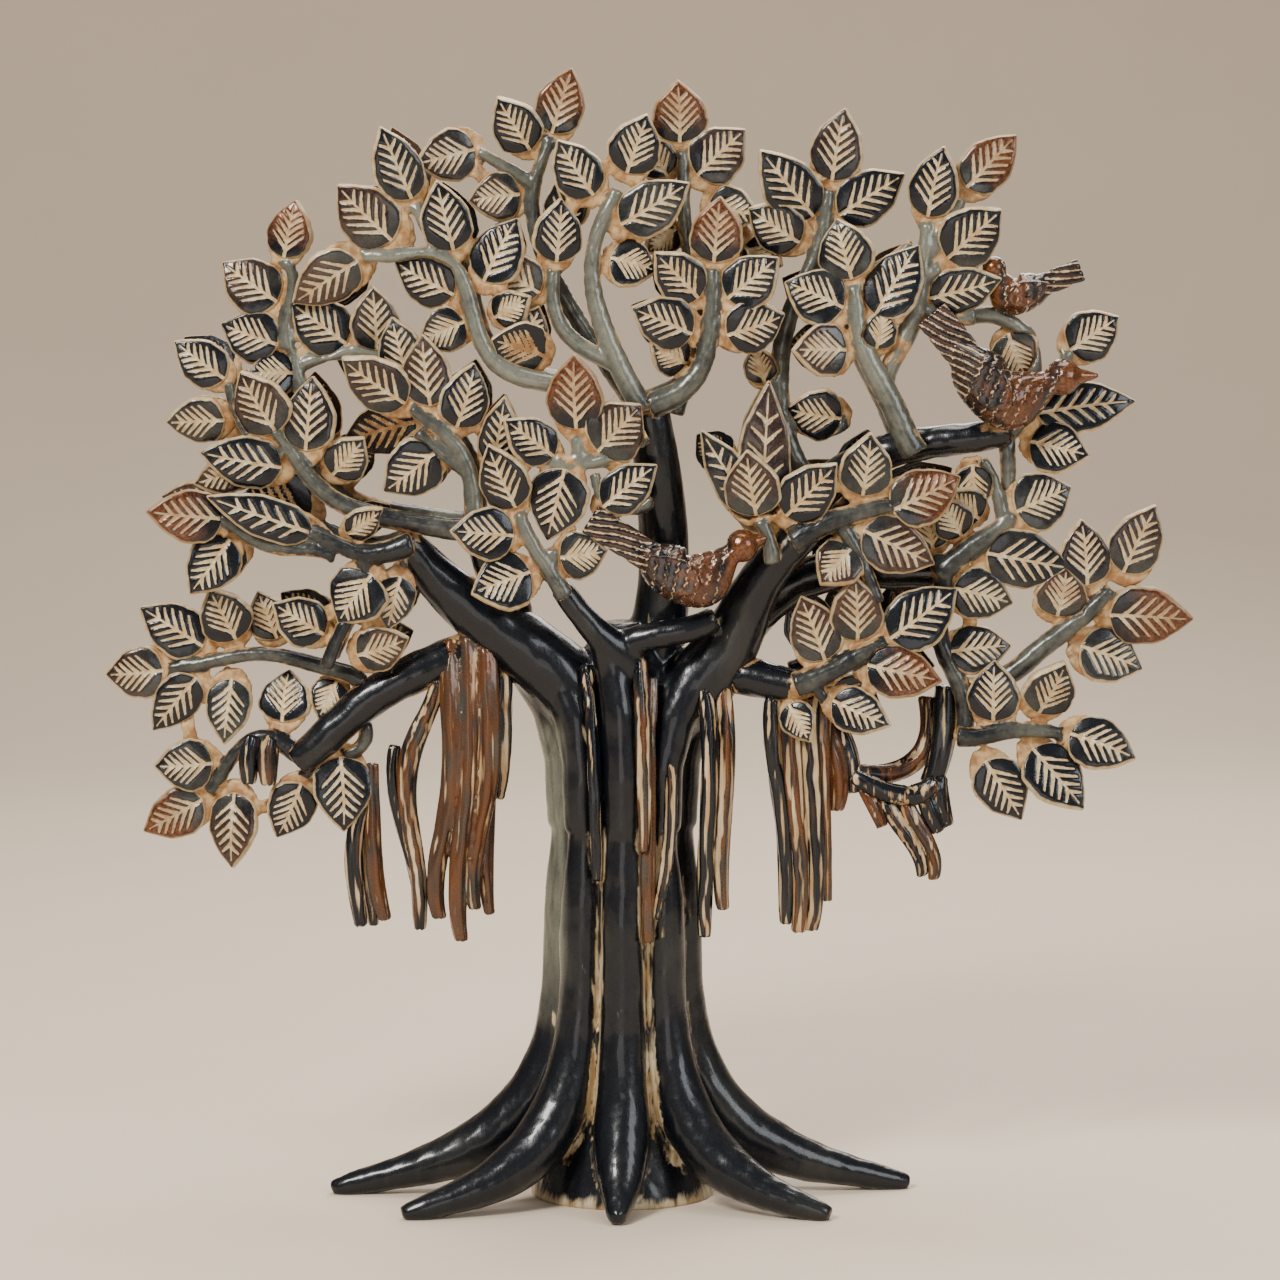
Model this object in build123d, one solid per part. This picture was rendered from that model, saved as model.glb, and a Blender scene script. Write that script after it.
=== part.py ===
from build123d import *
from functools import lru_cache
import math
import os

# Cast brass tree of life. The trunk stands on the table at the origin, +Z is up and the front
# of the tree looks along -Y. All sizes are in millimetres.

# Overall sizes
TREE_HEIGHT = 382.0
CANOPY_WIDTH = 364.0
CANOPY_DEPTH = 56.0

# Sizes that can be changed on their own
LEAF_THICKNESS = 3.4
LEAF_WIDTH_FACTOR = 1.0
PETIOLE_RADIUS = 1.5
MIDRIB_WIDTH = 1.1
VEIN_WIDTH = 1.0
VEIN_DEPTH = 0.8
TWIG_RADIUS = 2.3
CORE_RADIUS = 19.5
STRAND_RADIUS = 6.6
FOOT_REACH = 100.0
FOOT_TIP_RADIUS = 2.4
BIRD_GIRTH = 8.8
HANGING_ROOT_RADIUS = 2.5
TRUNK_ROOT_RADIUS = 2.1

# The layout below is drawn for a tree of this height, width and depth
LAYOUT_HEIGHT = 382.0
LAYOUT_WIDTH = 364.0
LAYOUT_DEPTH = 56.0

KX = CANOPY_WIDTH / LAYOUT_WIDTH
KY = CANOPY_DEPTH / LAYOUT_DEPTH
KZ = TREE_HEIGHT / LAYOUT_HEIGHT

VEIN_PAIRS = 4
FIRST_VEIN = 0.16
LAST_VEIN = 0.73
VEIN_ANGLE = 38.0
LEAF_SETBACK = 0.6
REAR_SHIFT = 34.0
SIDE_TWIG_STEP = 0.4
SEAM_ANGLE = math.radians(52.0)
SAMPLE_STEP = 2.5
LENGTH_STEP = 0.5

placed = []


def place(x, y, z):
    """A layout position carried to the size of this tree."""
    return Vector(x * KX, y * KY, z * KZ)


def boxes_meet(first, second):
    """Whether two bounding boxes share any space."""
    return (first.min.X < second.max.X and second.min.X < first.max.X
            and first.min.Y < second.max.Y and second.min.Y < first.max.Y
            and first.min.Z < second.max.Z and second.min.Z < first.max.Z)


def sampled(points):
    """Points along a path, close enough together to measure gaps with."""
    samples = [points[0]]
    for start, end in zip(points, points[1:]):
        steps = max(1, math.ceil((end - start).length / SAMPLE_STEP))
        samples += [start + (end - start) * (step / steps) for step in range(1, steps + 1)]
    return samples


def spines_meet(first, second, reach):
    """Whether two sampled paths come within a reach of each other."""
    return any((one - other).length < reach for one in first for other in second)


def seat(piece, path, reach):
    """Cut a piece back to the pieces it joins, so it seats on them, and keep it on the list."""
    box = piece.bounding_box()
    spine = sampled(path)
    joined = []
    for other, other_box, other_spine, other_reach in placed:
        if boxes_meet(box, other_box) and spines_meet(spine, other_spine, reach + other_reach + SAMPLE_STEP):
            joined.append(other)
    if joined:
        piece = max(piece.cut(*joined).solids(), key=lambda solid: solid.volume)
    placed.append((piece, piece.bounding_box(), spine, reach))
    return piece


def tangents(points):
    """The direction of a path at each of its points."""
    directions = []
    last = len(points) - 1
    for index in range(len(points)):
        before = points[max(index - 1, 0)]
        after = points[min(index + 1, last)]
        directions.append((after - before).normalized())
    return directions


def limb(points, radii):
    """A round limb that tapers along a path."""
    rings = []
    for point, direction, radius in zip(points, tangents(points), radii):
        across = Vector(0, 1, 0).cross(direction).normalized()
        seam = across * math.cos(SEAM_ANGLE) + direction.cross(across) * math.sin(SEAM_ANGLE)
        rings.append(Wire.make_circle(radius, Plane(point, x_dir=seam, z_dir=direction)))
    return Solid.make_loft(rings)


def seated_limb(points, radii):
    """A limb cut back to the pieces it joins."""
    return seat(limb(points, radii), points, max(radii))


def laid_limb(rows, radius=1.0):
    """A seated limb from layout rows of x, y, z and radius share."""
    points = [place(x, y, z) for x, y, z, _ in rows]
    return seated_limb(points, [radius * row[3] for row in rows])


# ---------------------------------------------------------------- trunk and roots

CORE_SECTIONS = (
    (0.0, 1.62, 1.45),
    (14.0, 1.42, 1.28),
    (34.0, 1.16, 1.12),
    (62.0, 1.02, 1.0),
    (110.0, 1.0, 0.97),
    (150.0, 1.04, 0.95),
    (172.0, 0.98, 0.84),
    (188.0, 0.66, 0.64),
    (197.0, 0.36, 0.40),
)


def trunk_core():
    """The column, wider at the table and drawn in where the boughs leave it."""
    rings = []
    for height, wide, deep in CORE_SECTIONS:
        plane = Plane(place(0, 0, height), x_dir=(1, 0, 0), z_dir=(0, 0, 1))
        if wide >= deep:
            rings.append(Wire.make_ellipse(CORE_RADIUS * wide, CORE_RADIUS * deep, plane))
        else:
            turned = Plane(plane.origin, x_dir=(0, 1, 0), z_dir=(0, 0, 1))
            rings.append(Wire.make_ellipse(CORE_RADIUS * deep, CORE_RADIUS * wide, turned))
    return Solid.make_loft(rings)


# Share of the way out to the toe, height, and radius as a share of the strand's
STRAND_COURSE = (
    (0.0, 168.0, 0.72),
    (0.0, 140.0, 0.92),
    (0.0, 105.0, 1.0),
    (0.012, 76.0, 1.04),
    (0.05, 52.0, 1.16),
    (0.16, 32.0, 1.36),
    (0.34, 18.5, 1.34),
    (0.56, 10.5, 1.06),
    (0.79, 5.6, 0.72),
)


def root_strand(bearing, reach, sweep):
    """A strand seated on the trunk, running down it and out along the table to a toe."""
    points = []
    radii = []
    far = FOOT_REACH * reach
    for share, height, thick in STRAND_COURSE:
        angle = math.radians(bearing + sweep * share)
        out = CORE_RADIUS + share * (far - CORE_RADIUS)
        points.append(Vector(out * math.cos(angle), out * math.sin(angle), height * KZ))
        radii.append(STRAND_RADIUS * thick)
    angle = math.radians(bearing + sweep)
    points.append(Vector(far * math.cos(angle), far * math.sin(angle), FOOT_TIP_RADIUS * 0.8))
    radii.append(FOOT_TIP_RADIUS)
    strand = limb(points, radii)
    depth = 4 * STRAND_RADIUS
    below = Box(4 * FOOT_REACH, 4 * FOOT_REACH, depth, align=(Align.CENTER, Align.CENTER, Align.MAX))
    strand = max((strand - below).solids(), key=lambda solid: solid.volume)
    return seat(strand, points, max(radii))


# Name, bearing round the trunk, reach as a share of FOOT_REACH, and sweep on the way out
FRONT_ROOTS = (
    ("root_left", 180.0, 1.0, 2.0),
    ("root_front_left", 225.0, 0.84, -16.0),
    ("root_front", 270.0, 0.50, -2.0),
    ("root_front_right", 315.0, 0.81, 14.0),
    ("root_right", 0.0, 0.99, 3.0),
)
REAR_ROOTS = ((45.0, 0.78, -6.0), (90.0, 0.56, 4.0), (135.0, 0.80, 6.0))

TRUNK_ROOTS = (
    ((-12, -15, 184, 1.0), (-10, -20.5, 160, 1.0), (-9, -22, 135, 1.0), (-8.6, -22.4, 112, 0.7)),
    ((6, -18, 186, 1.0), (6.8, -22.5, 168, 1.15), (7.4, -23.6, 146, 1.1), (7.2, -24.2, 122, 0.8)),
    ((10, -16, 180, 1.0), (9, -20.5, 155, 1.1), (8.7, -22, 130, 1.1), (8.7, -22.6, 108, 1.0), (8.8, -23.5, 91, 0.7)),
    ((14, -15, 172, 1.0), (16.5, -20.2, 145, 1.0), (15, -21, 118, 0.9), (11, -23, 99, 0.6)),
)

# ---------------------------------------------------------------- boughs

BOUGHS = (
    ("left_bough", ((-5, -1, 158, 13.5), (-18, -4, 175, 12.6), (-34, -7, 190, 11),
                    (-50, -9, 202, 9.2), (-64, -12, 215, 7), (-74, -14, 228, 5.2))),
    ("right_bough", ((10, -1, 160, 13), (25, -4, 176, 12), (37, -7, 192, 10),
                     (45, -11, 209, 7.8), (54, -15, 222, 6.4), (63, -18, 230, 5))),
    ("crown_bough", ((6, 4, 176, 11), (13, 1, 200, 9), (14, -2, 224, 8.2),
                     (12, -6, 248, 7.6), (8.5, -9, 270, 6.6))),
    ("lower_left_bough", ((-42, -6, 192, 6.4), (-60, -9, 185, 6.6), (-75, -12, 178.5, 6.4),
                          (-89, -13, 169.5, 6.2), (-101, -14, 158.5, 5.8), (-110, -14, 151, 4.6))),
    ("left_upper_bough", ((-36, -4, 190, 8), (-40, -8, 208, 7), (-45, -12, 222, 6.2), (-49, -16, 236, 4.8))),
    ("front_fork", ((0, -10, 178, 9), (-1, -15, 187, 7.5), (-7, -19, 194, 5),
                    (-14, -21, 202, 4), (-21, -22, 211, 3.3))),
    ("bird_perch", ((-1, -15, 190, 5), (8, -18, 193.5, 4.6), (20, -19, 196, 4.2), (31, -17, 200, 4))),
    ("lower_right_bough", ((30, -5, 178, 8), (44, -9, 179.5, 6.6), (56, -13, 177, 5.6), (66, -16, 180, 4.6))),
    ("right_rear_bough", ((36, 4, 190, 8), (52, 5, 206, 7.4), (70, 3, 214, 6.6),
                          (90, 0, 214.5, 6), (108, -3, 214.5, 5))),
    ("upper_right_bough", ((42, 3, 198, 7.6), (54, 6, 222, 6.8), (68, 6, 242, 6.2),
                           (84, 1, 253, 5.8), (101, -5, 258, 5.4), (117, -8, 260, 5), (130, -9, 263, 4.4))),
)

# ---------------------------------------------------------------- sprays
# Each spray has a depth, its twigs as rows of x, z and radius share, and its leaves as rows of
# base x, base z, tip x, tip z, width and a step back from the twig.

SPRAYS = {
    "lower_left": (-13, (
        ((-86, 175, 1.3), (-96, 182, 1.2), (-107, 185, 1.1), (-119, 187.5, 1.0),
         (-132, 186.5, 1.0), (-144, 184, 0.9), (-153, 182.5, 0.7)),
    ), (
        (-153, 182.5, -173, 180.5, 15, 0), (-141.5, 190.5, -160, 202.5, 15, 0),
        (-129.5, 191, -138, 208.5, 15, 0), (-144, 179.5, -157, 163, 13, 0),
        (-131.5, 181, -134, 159.5, 13, 0), (-113, 181, -115, 163, 15, 3),
        (-98, 180, -99.5, 166, 11, 3), (-116, 191, -122, 207, 12, 4),
    ), False),
    "low_left_drop": (-13, (
        ((-108, 153, 1.5), (-116, 158, 1.3), (-123, 159, 1.1), (-129, 155.5, 1.0),
         (-135, 147.5, 0.9), (-139.5, 140.5, 0.7)),
        ((-99, 157, 1.0), (-104, 151, 0.9), (-107.5, 146, 0.8)),
        ((-88, 166, 1.1), (-87, 158, 1.0), (-93.5, 153.5, 0.9)),
    ), (
        (-137, 150.7, -156, 150.3, 15, 0), (-140.5, 139, -160, 128.5, 14, 0),
        (-131, 140, -132, 117.7, 14, 0), (-108, 145, -116, 126.3, 14, 0),
        (-95, 152.5, -94, 130.3, 17, 0),
    ), False),
    "left_middle": (-24, (
        ((-70, 226, 1.6), (-82, 222.5, 1.4), (-90, 223.5, 1.2), (-98, 227, 1.0), (-105, 229.5, 0.8)),
        ((-96, 221, 1.0), (-112, 224, 1.0), (-122.5, 227, 1.0), (-129, 231.5, 0.9), (-134, 234.5, 0.7)),
        ((-86, 220, 1.1), (-90, 205, 1.0), (-95, 194, 1.0), (-99, 184, 0.9)),
    ), (
        (-105, 230, -129, 239.5, 15, 0), (-103, 226, -119, 210.5, 16, 0),
        (-85, 218.5, -91.5, 200, 16, 0), (-74, 216, -78, 198, 12, 3),
        (-98, 194, -115, 205, 14, 3), (-90, 188, -73, 193, 13, 3),
        (-134.5, 235, -156, 237, 15, 4), (-129.5, 229, -143.5, 210, 15, 4),
        (-93, 228, -81, 236, 9, 3),
    ), True),
    "left_upper": (-20, (
        ((-47, 231, 1.7), (-62, 231, 1.5), (-79, 234, 1.4), (-92, 238, 1.3),
         (-102, 245, 1.2), (-109, 254, 1.0), (-116, 263, 0.8)),
        ((-114, 254, 1.0), (-124, 262, 0.9), (-129, 271, 0.8), (-131, 279, 0.7)),
    ), (
        (-114, 261, -126, 281, 16, 0), (-105.5, 257, -103.5, 279, 15, 0),
        (-114, 252, -138, 254.5, 14, 2), (-124, 251, -142, 246, 11, 5),
        (-98, 247, -87, 259, 13, 3), (-131, 279, -148, 292, 13, 3),
        (-131, 267, -151, 265.5, 13, 3), (-84, 238, -93, 255, 13, 3),
    ), True),
    "left_top": (-11, (
        ((-100, 244, 1.3), (-105, 260, 1.2), (-106, 274, 1.1), (-111, 287, 1.0),
         (-112, 302, 0.9), (-112.5, 319, 0.7)),
        ((-107, 285, 1.0), (-97, 288.5, 0.9), (-88, 289, 0.8), (-81, 287, 0.7)),
    ), (
        (-113, 319, -109.5, 338, 13, 0), (-114, 305, -132, 318, 16, 0),
        (-114, 291, -132.5, 298, 15, 0), (-91, 291, -109, 304.5, 16, 0),
        (-82, 288, -83, 309.5, 14, 0), (-108, 283, -124, 281, 13, 2),
    ), False),
    "left_inner": (-24, (
        ((-49, 233, 1.4), (-50, 245, 1.2), (-53, 255, 1.1), (-61, 264, 1.0), (-70, 271, 0.7)),
        ((-52, 250, 1.0), (-60, 256, 0.9), (-68, 263, 0.8)),
    ), (
        (-70, 271, -91, 286, 15, 0), (-63.5, 270, -66, 293, 14, 0),
        (-55.5, 263, -49, 284, 14, 0), (-70, 265, -93, 260, 15, 1),
        (-60, 258, -78, 244, 16, 1), (-71, 279, -76, 299, 13, 4),
        (-43, 252, -39, 272, 11, 4),
    ), True),
    "crown_left": (-19, (
        ((-4, 270, 1.5), (-16, 274, 1.4), (-29, 280, 1.4), (-41, 285, 1.3), (-48, 296, 1.2),
         (-51.5, 309, 1.1), (-57, 319, 1.0), (-67, 322, 0.9), (-77, 321, 0.9), (-86, 321, 0.7)),
        ((-60, 320, 1.0), (-65, 331, 0.9), (-69, 338, 0.7)),
    ), (
        (-86, 321, -108, 306, 15, 0), (-75, 325, -93, 343, 17, 0),
        (-69, 338, -79, 362, 14, 0), (-56, 321, -60, 344, 15, 0),
        (-54.5, 307.5, -74, 318, 14, 1), (-51, 300, -66, 293, 13, 2),
        (-47, 311, -36, 332, 15, 2), (-44, 300, -32, 307, 11, 3),
        (-36, 286, -28, 303, 13, 4),
    ), True),
    "crown_top": (-2, (
        ((6, 268, 1.4), (-6, 286, 1.3), (-17, 303, 1.2), (-26, 320, 1.1), (-30, 335, 1.0),
         (-28, 350, 0.9), (-24, 360, 0.7)),
        ((-28, 344, 1.0), (-38, 350, 0.9), (-48, 356, 0.7)),
    ), (
        (-24, 360, -17.5, 382, 14, 0), (-30, 355, -41, 372, 14, 0),
        (-48, 357, -67, 352, 15, 0), (-33, 342, -50, 340, 14, 0),
        (-22, 331, -14, 349, 13, 0), (-20, 351, -4, 362, 12, 1),
    ), False),
    "crown_centre": (-16, (
        ((7.5, 270, 1.7), (-2, 287, 1.5), (-8, 303, 1.3), (-10, 318, 1.1), (-7, 332, 1.0), (-1.5, 343, 0.8)),
        ((2, 281, 1.2), (-10, 289, 1.2), (-19, 296, 1.1), (-23, 306, 1.0), (-22.5, 316, 0.8)),
    ), (
        (-8.5, 340, -20, 358, 14, 0), (1, 347, 8, 366, 15, 0),
        (0, 332, 20, 344, 15, 0), (-5, 321, 10, 317, 14, 1),
        (-20, 294.5, -41, 291, 16, 0), (-22, 317.5, -20, 338, 14, 0),
        (-26, 308, -43, 319.5, 14, 2),
    ), False),
    "crown_middle": (-4, (
        ((18, 268, 1.3), (23, 285, 1.2), (25, 305, 1.1), (22, 325, 1.0), (20.5, 342, 0.9), (20, 356, 0.8)),
        ((23, 312, 1.0), (33, 322, 0.9), (40, 326, 0.8)),
    ), (
        (19.5, 357, 19, 377.5, 16, 0), (24, 347, 40, 362, 16, 0),
        (28, 339, 44, 335, 13, 1), (16, 347, 8, 360, 11, 2),
        (19, 331, 9, 323, 10, 2), (40, 325, 52, 318, 12, 3),
    ), False),
    "front_centre": (-25, (
        ((-19, 208, 1.3), (-23, 215, 1.2), (-28, 222.5, 1.1), (-32, 230, 1.0), (-34, 236, 0.7)),
        ((-24, 216, 0.9), (-23, 224, 0.9)),
        ((8, 262, 1.2), (-4, 255, 1.1), (-12, 253, 1.0), (-15, 261, 0.8)),
        ((-12, 253, 0.9), (-20, 252, 0.8), (-24, 254, 0.7)),
        ((10, 240, 1.0), (0, 238, 0.9), (-7, 243, 0.8), (-9, 249, 0.7)),
    ), (
        (-34.5, 236, -43.5, 257, 14, 0), (-34.5, 228, -55, 231, 15, 0),
        (-29, 217, -48, 210.5, 17, 0), (-24.5, 229.5, -18.5, 253, 17, 0),
        (-22, 221, -7, 223, 14, 1), (-23, 255, -37, 266, 13, 0),
        (-15, 262, -15.5, 287, 16, 0), (-6.5, 252.5, 3.5, 272, 15, 0),
        (-6, 238.5, 9.5, 250.5, 13, 0),
    ), False),
    "centre_right": (-16, (
        ((9, 271, 1.9), (17, 274.5, 1.7), (24.5, 281, 1.5), (28.5, 291, 1.3), (30, 304, 1.1), (30.5, 317, 0.8)),
    ), (
        (30.5, 317, 32.5, 339, 15, 0), (25, 294.5, 5, 303, 15, 0),
        (26.5, 306, 12, 320.5, 14, 0), (34, 306, 50.5, 319.5, 15, 0),
        (33.5, 294.5, 53, 301, 15, 0), (22, 283, 12, 292, 11, 4),
    ), True),
    "crown_right": (-19, (
        ((98, 256, 1.9), (93.5, 264, 1.8), (88.5, 275, 1.7), (82, 287, 1.5), (78.5, 299, 1.2), (77, 311, 0.8)),
    ), (
        (77, 312, 71.5, 331.5, 16, 0), (75, 303.5, 56, 312, 16, 0),
        (76, 290, 58.5, 290, 15, 0), (84.5, 302, 97, 323, 16, 0),
        (83, 290, 88.5, 302, 11, 1), (86, 290, 98, 289.5, 10, 3),
    ), True),
    "crown_far": (-5, (
        ((66, 240, 1.5), (57, 256, 1.4), (53, 274, 1.4), (54, 292, 1.3), (59, 308, 1.2),
         (65, 321, 1.1), (68, 333, 1.0), (69.5, 343, 0.8)),
        ((56, 268, 1.0), (66, 262, 1.0), (75, 265, 0.9)),
        ((60, 309, 1.0), (74, 312, 1.0), (88, 318, 1.0), (97, 325, 0.8)),
    ), (
        (70, 344, 74, 368, 15, 0), (64, 334.5, 48, 354, 16, 0),
        (73, 335, 92.5, 347, 15, 0), (61, 325, 44, 336, 14, 0),
        (75, 265.5, 57, 270, 14, 0), (96.5, 325, 81.5, 340, 15, 0),
        (54, 280, 41, 287, 12, 2), (96, 327, 92, 337, 9, 3),
    ), False),
    "right_inner": (-23, (
        ((57, 226, 1.9), (68, 232.5, 1.6), (79, 236, 1.3), (90, 238.5, 0.9)),
        ((50, 219, 1.2), (49, 227, 1.0), (46, 233, 0.8)),
        ((73, 231, 1.0), (79, 222, 1.0), (83, 213, 0.9), (86, 206, 0.8)),
    ), (
        (90.5, 237, 110.5, 247, 16, 0), (80, 240, 82.5, 260.5, 15, 0),
        (81, 230, 102, 220, 16, 0), (55, 235, 70, 250.5, 15, 0),
        (45, 233.5, 41.5, 255, 16, 0), (78, 225, 67, 214, 14, 1),
        (36, 250, 27, 260, 12, 5), (49, 253, 47, 276, 15, 6), (34, 229, 20, 233, 13, 5),
    ), True),
    "right_front": (-20, (
        ((58, 178, 1.9), (69, 182, 1.6), (79, 187.5, 1.3), (88, 192, 0.9)),
        ((63, 180, 1.0), (68, 173, 0.8)),
    ), (
        (88, 192, 110, 209, 17, 0), (79, 191, 78, 213, 15, 0),
        (68.5, 184.5, 60.5, 206, 15, 0), (82.5, 184.5, 104.5, 180, 15, 0),
        (69, 173.5, 88.5, 165.5, 13, 0), (56, 172, 62, 160, 10, 3),
    ), True),
    "right_middle": (-12, (
        ((106, 214, 1.8), (113, 220, 1.6), (121, 226, 1.4), (128, 231, 1.1), (131, 235, 0.8)),
        ((108, 213, 1.4), (107, 202, 1.3), (108, 190, 1.3), (113, 179, 1.3),
         (116, 168, 1.3), (114.5, 158, 1.2)),
        ((128, 231, 1.0), (126, 242, 0.9), (121, 253, 0.8)),
        ((107, 216, 1.0), (106, 221, 0.8)),
    ), (
        (123, 221.5, 148.5, 217, 17, 0), (131, 235, 149, 243, 17, 0),
        (110, 210.5, 130, 205, 15, 0), (108.5, 188, 130, 190.5, 14, 0),
        (115, 226, 107, 239, 12, 2), (119, 229, 109, 240, 12, 4),
        (106, 221, 102.5, 237, 11, 4), (120, 239, 116.5, 252, 11, 4),
    ), False),
    "right_outer": (-9, (
        ((113, 176, 1.3), (123, 177, 1.4), (132, 181, 1.5), (141, 188.5, 1.5), (150, 195.5, 1.4),
         (158, 202, 1.2), (165, 209, 0.8)),
    ), (
        (157, 211, 155, 230.5, 15, 0), (168, 213, 178.5, 235.5, 15, 0),
        (165, 200.5, 190, 199, 17, 0), (153.5, 190.5, 174.5, 183, 16, 0),
        (147, 199, 149, 214.5, 15, 0),
    ), False),
    "right_low": (-15, (
        ((113, 160, 1.5), (121, 160, 1.3), (129, 161.5, 1.2), (138, 162, 1.1), (148, 161, 0.8)),
    ), (
        (149, 161.5, 171, 153.5, 15, 0), (125, 163.5, 125, 184, 15, 0),
        (139.5, 166.5, 148, 184, 15, 0), (137, 157.5, 154, 137.5, 16, 0),
        (121.5, 153, 134, 133, 15, 0),
    ), False),
    "right_top": (-14, (
        ((88, 277, 1.4), (93, 291, 1.4), (98, 303, 1.4), (100, 314, 1.2), (101, 324, 1.0), (101.5, 332, 0.8)),
        ((100, 314, 1.0), (106, 317, 0.8)),
        ((102, 322, 1.0), (108, 331, 1.0), (113, 340, 0.8)),
        ((98, 304, 1.2), (108, 301, 1.2), (118, 301, 1.2)),
    ), (
        (101.5, 332, 106.5, 355.5, 14, 0), (107, 319, 125, 335, 17, 0),
        (113, 337, 134.5, 340.5, 13, 3), (113.5, 342, 130, 360, 14, 3),
        (103, 307, 124, 312.5, 13, 1), (121, 316, 127, 327, 9, 3),
    ), False),
    "right_end": (-8, (
        ((130, 262, 1.5), (135, 270, 1.3), (138, 281, 1.2), (137, 291, 1.1), (131, 298.5, 1.1),
         (123, 301.5, 1.2), (116, 301, 1.2)),
        ((137, 272, 1.0), (147, 281, 0.9), (149, 289, 0.8)),
        ((129, 262, 1.2), (130, 250, 1.1), (130, 238, 1.0)),
    ), (
        (140, 268.5, 169.5, 272.5, 15, 0), (135.5, 259.5, 155.5, 255, 15, 0),
        (149, 289, 165, 300, 15, 0), (137, 283, 129, 297, 13, 2), (139.5, 283, 144.5, 294, 9, 2),
    ), False),
}

# Sprays that grow from one casting share its name
SPRAY_GROUPS = {
    "lower_left": ("lower_left", "low_left_drop"),
    "left_middle": ("left_middle",),
    "left_upper": ("left_upper", "left_top"),
    "left_inner": ("left_inner",),
    "crown_left": ("crown_left",),
    "crown_top": ("crown_top",),
    "crown_centre": ("crown_centre", "crown_middle"),
    "front_centre": ("front_centre",),
    "centre_right": ("centre_right",),
    "crown_right": ("crown_right", "crown_far"),
    "right_inner": ("right_inner",),
    "right_front": ("right_front",),
    "right_middle": ("right_middle",),
    "right_outer": ("right_outer", "right_low"),
    "right_top": ("right_top",),
    "right_end": ("right_end",),
}

# ---------------------------------------------------------------- leaves

# Share of the length and share of half the width, from the stalk to the tip
LEAF_EDGE = ((0.0, 0.16), (0.07, 0.52), (0.20, 0.88), (0.38, 1.0), (0.60, 0.80), (0.80, 0.44), (0.93, 0.15))


def half_width(share, width):
    """Half the width of a leaf at a share of its length."""
    for (low, low_wide), (high, high_wide) in zip(LEAF_EDGE, LEAF_EDGE[1:] + ((1.0, 0.0),)):
        if share <= high:
            part = (share - low) / (high - low)
            return 0.5 * width * (low_wide + part * (high_wide - low_wide))
    return 0.0


@lru_cache(maxsize=None)
def leaf_blade(length, width, vein_pairs):
    """A leaf with its stalk end at the origin, its tip along +X and its veined face at z = 0."""
    upper = [(share * length, wide * width / 2) for share, wide in LEAF_EDGE]
    lower = [(x, -y) for x, y in upper]
    tip = (length, 0.0)
    outline = Wire([
        Edge.make_line(Vector(*lower[0]), Vector(*upper[0])),
        Edge.make_spline([Vector(*point) for point in upper + [tip]]),
        Edge.make_spline([Vector(*point) for point in [tip] + lower[::-1]]),
    ])
    blade = Solid.extrude(Face(outline), Vector(0, 0, -LEAF_THICKNESS))
    cuts = [groove(Vector(0.05 * length, 0), Vector(0.84 * length, 0), MIDRIB_WIDTH)]
    for pair in range(vein_pairs):
        start = (FIRST_VEIN + (LAST_VEIN - FIRST_VEIN) * pair / (vein_pairs - 1)) * length
        for hand in (1, -1):
            run = 0.70 * half_width(start / length + 0.14, width)
            end = Vector(start + run / math.tan(math.radians(VEIN_ANGLE)), hand * (run + MIDRIB_WIDTH / 2))
            cuts.append(groove(Vector(start, hand * MIDRIB_WIDTH * 0.3), end, VEIN_WIDTH))
    return blade.cut(*cuts).solids()[0]


def groove(start, end, width):
    """A cutter for one engraved vein."""
    middle = (start + end) * 0.5
    along = end - start
    plane = Plane(middle, x_dir=along, z_dir=(0, 0, 1))
    return plane * Box(along.length, width, 2 * VEIN_DEPTH)


def nearest_on(points, target):
    """The point of a path nearest to a target."""
    best = points[0]
    for start, end in zip(points, points[1:]):
        along = end - start
        share = max(0.0, min(1.0, (target - start).dot(along) / along.dot(along)))
        point = start + along * share
        if (point - target).length < (best - target).length:
            best = point
    return best


def leaf(row, depth, paths, turn, facing):
    """One leaf with its stalk, facing the front (-1) or the back (1) of the tree."""
    base_x, base_z, tip_x, tip_z, width, back = row
    base = place(base_x, depth, base_z) + Vector(0, -facing * (back + LEAF_SETBACK), 0)
    tip = place(tip_x, depth, tip_z) + Vector(0, -facing * back + facing * (1.0 + 0.8 * turn), 0)
    along = tip - base
    roll = math.radians(5.0 * (turn - 1))
    side = along.cross(Vector(0, facing, 0)).normalized()
    normal = side.cross(along).normalized() * math.cos(roll) + side * math.sin(roll)
    front = base + normal * (LEAF_THICKNESS / 2)
    length = round(along.length / LENGTH_STEP) * LENGTH_STEP
    vein_pairs = VEIN_PAIRS if facing < 0 else 0
    blade = leaf_blade(length, width * LEAF_WIDTH_FACTOR, vein_pairs)
    blade = Plane(front, x_dir=along, z_dir=normal) * blade
    foot = min((nearest_on(path, base) for path in paths), key=lambda point: (point - base).length)
    inside = base + along * 0.14
    stalk_run = inside - foot
    stalk = Solid.make_cylinder(PETIOLE_RADIUS, stalk_run.length, Plane(foot, z_dir=stalk_run))
    joined = max(blade.fuse(stalk).solids(), key=lambda solid: solid.volume)
    return seat(joined, [foot, base, tip], width * LEAF_WIDTH_FACTOR / 2)


# ---------------------------------------------------------------- hanging roots
# Each root is rows of x, y, z and radius share, from its bough down to its tip.

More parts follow.
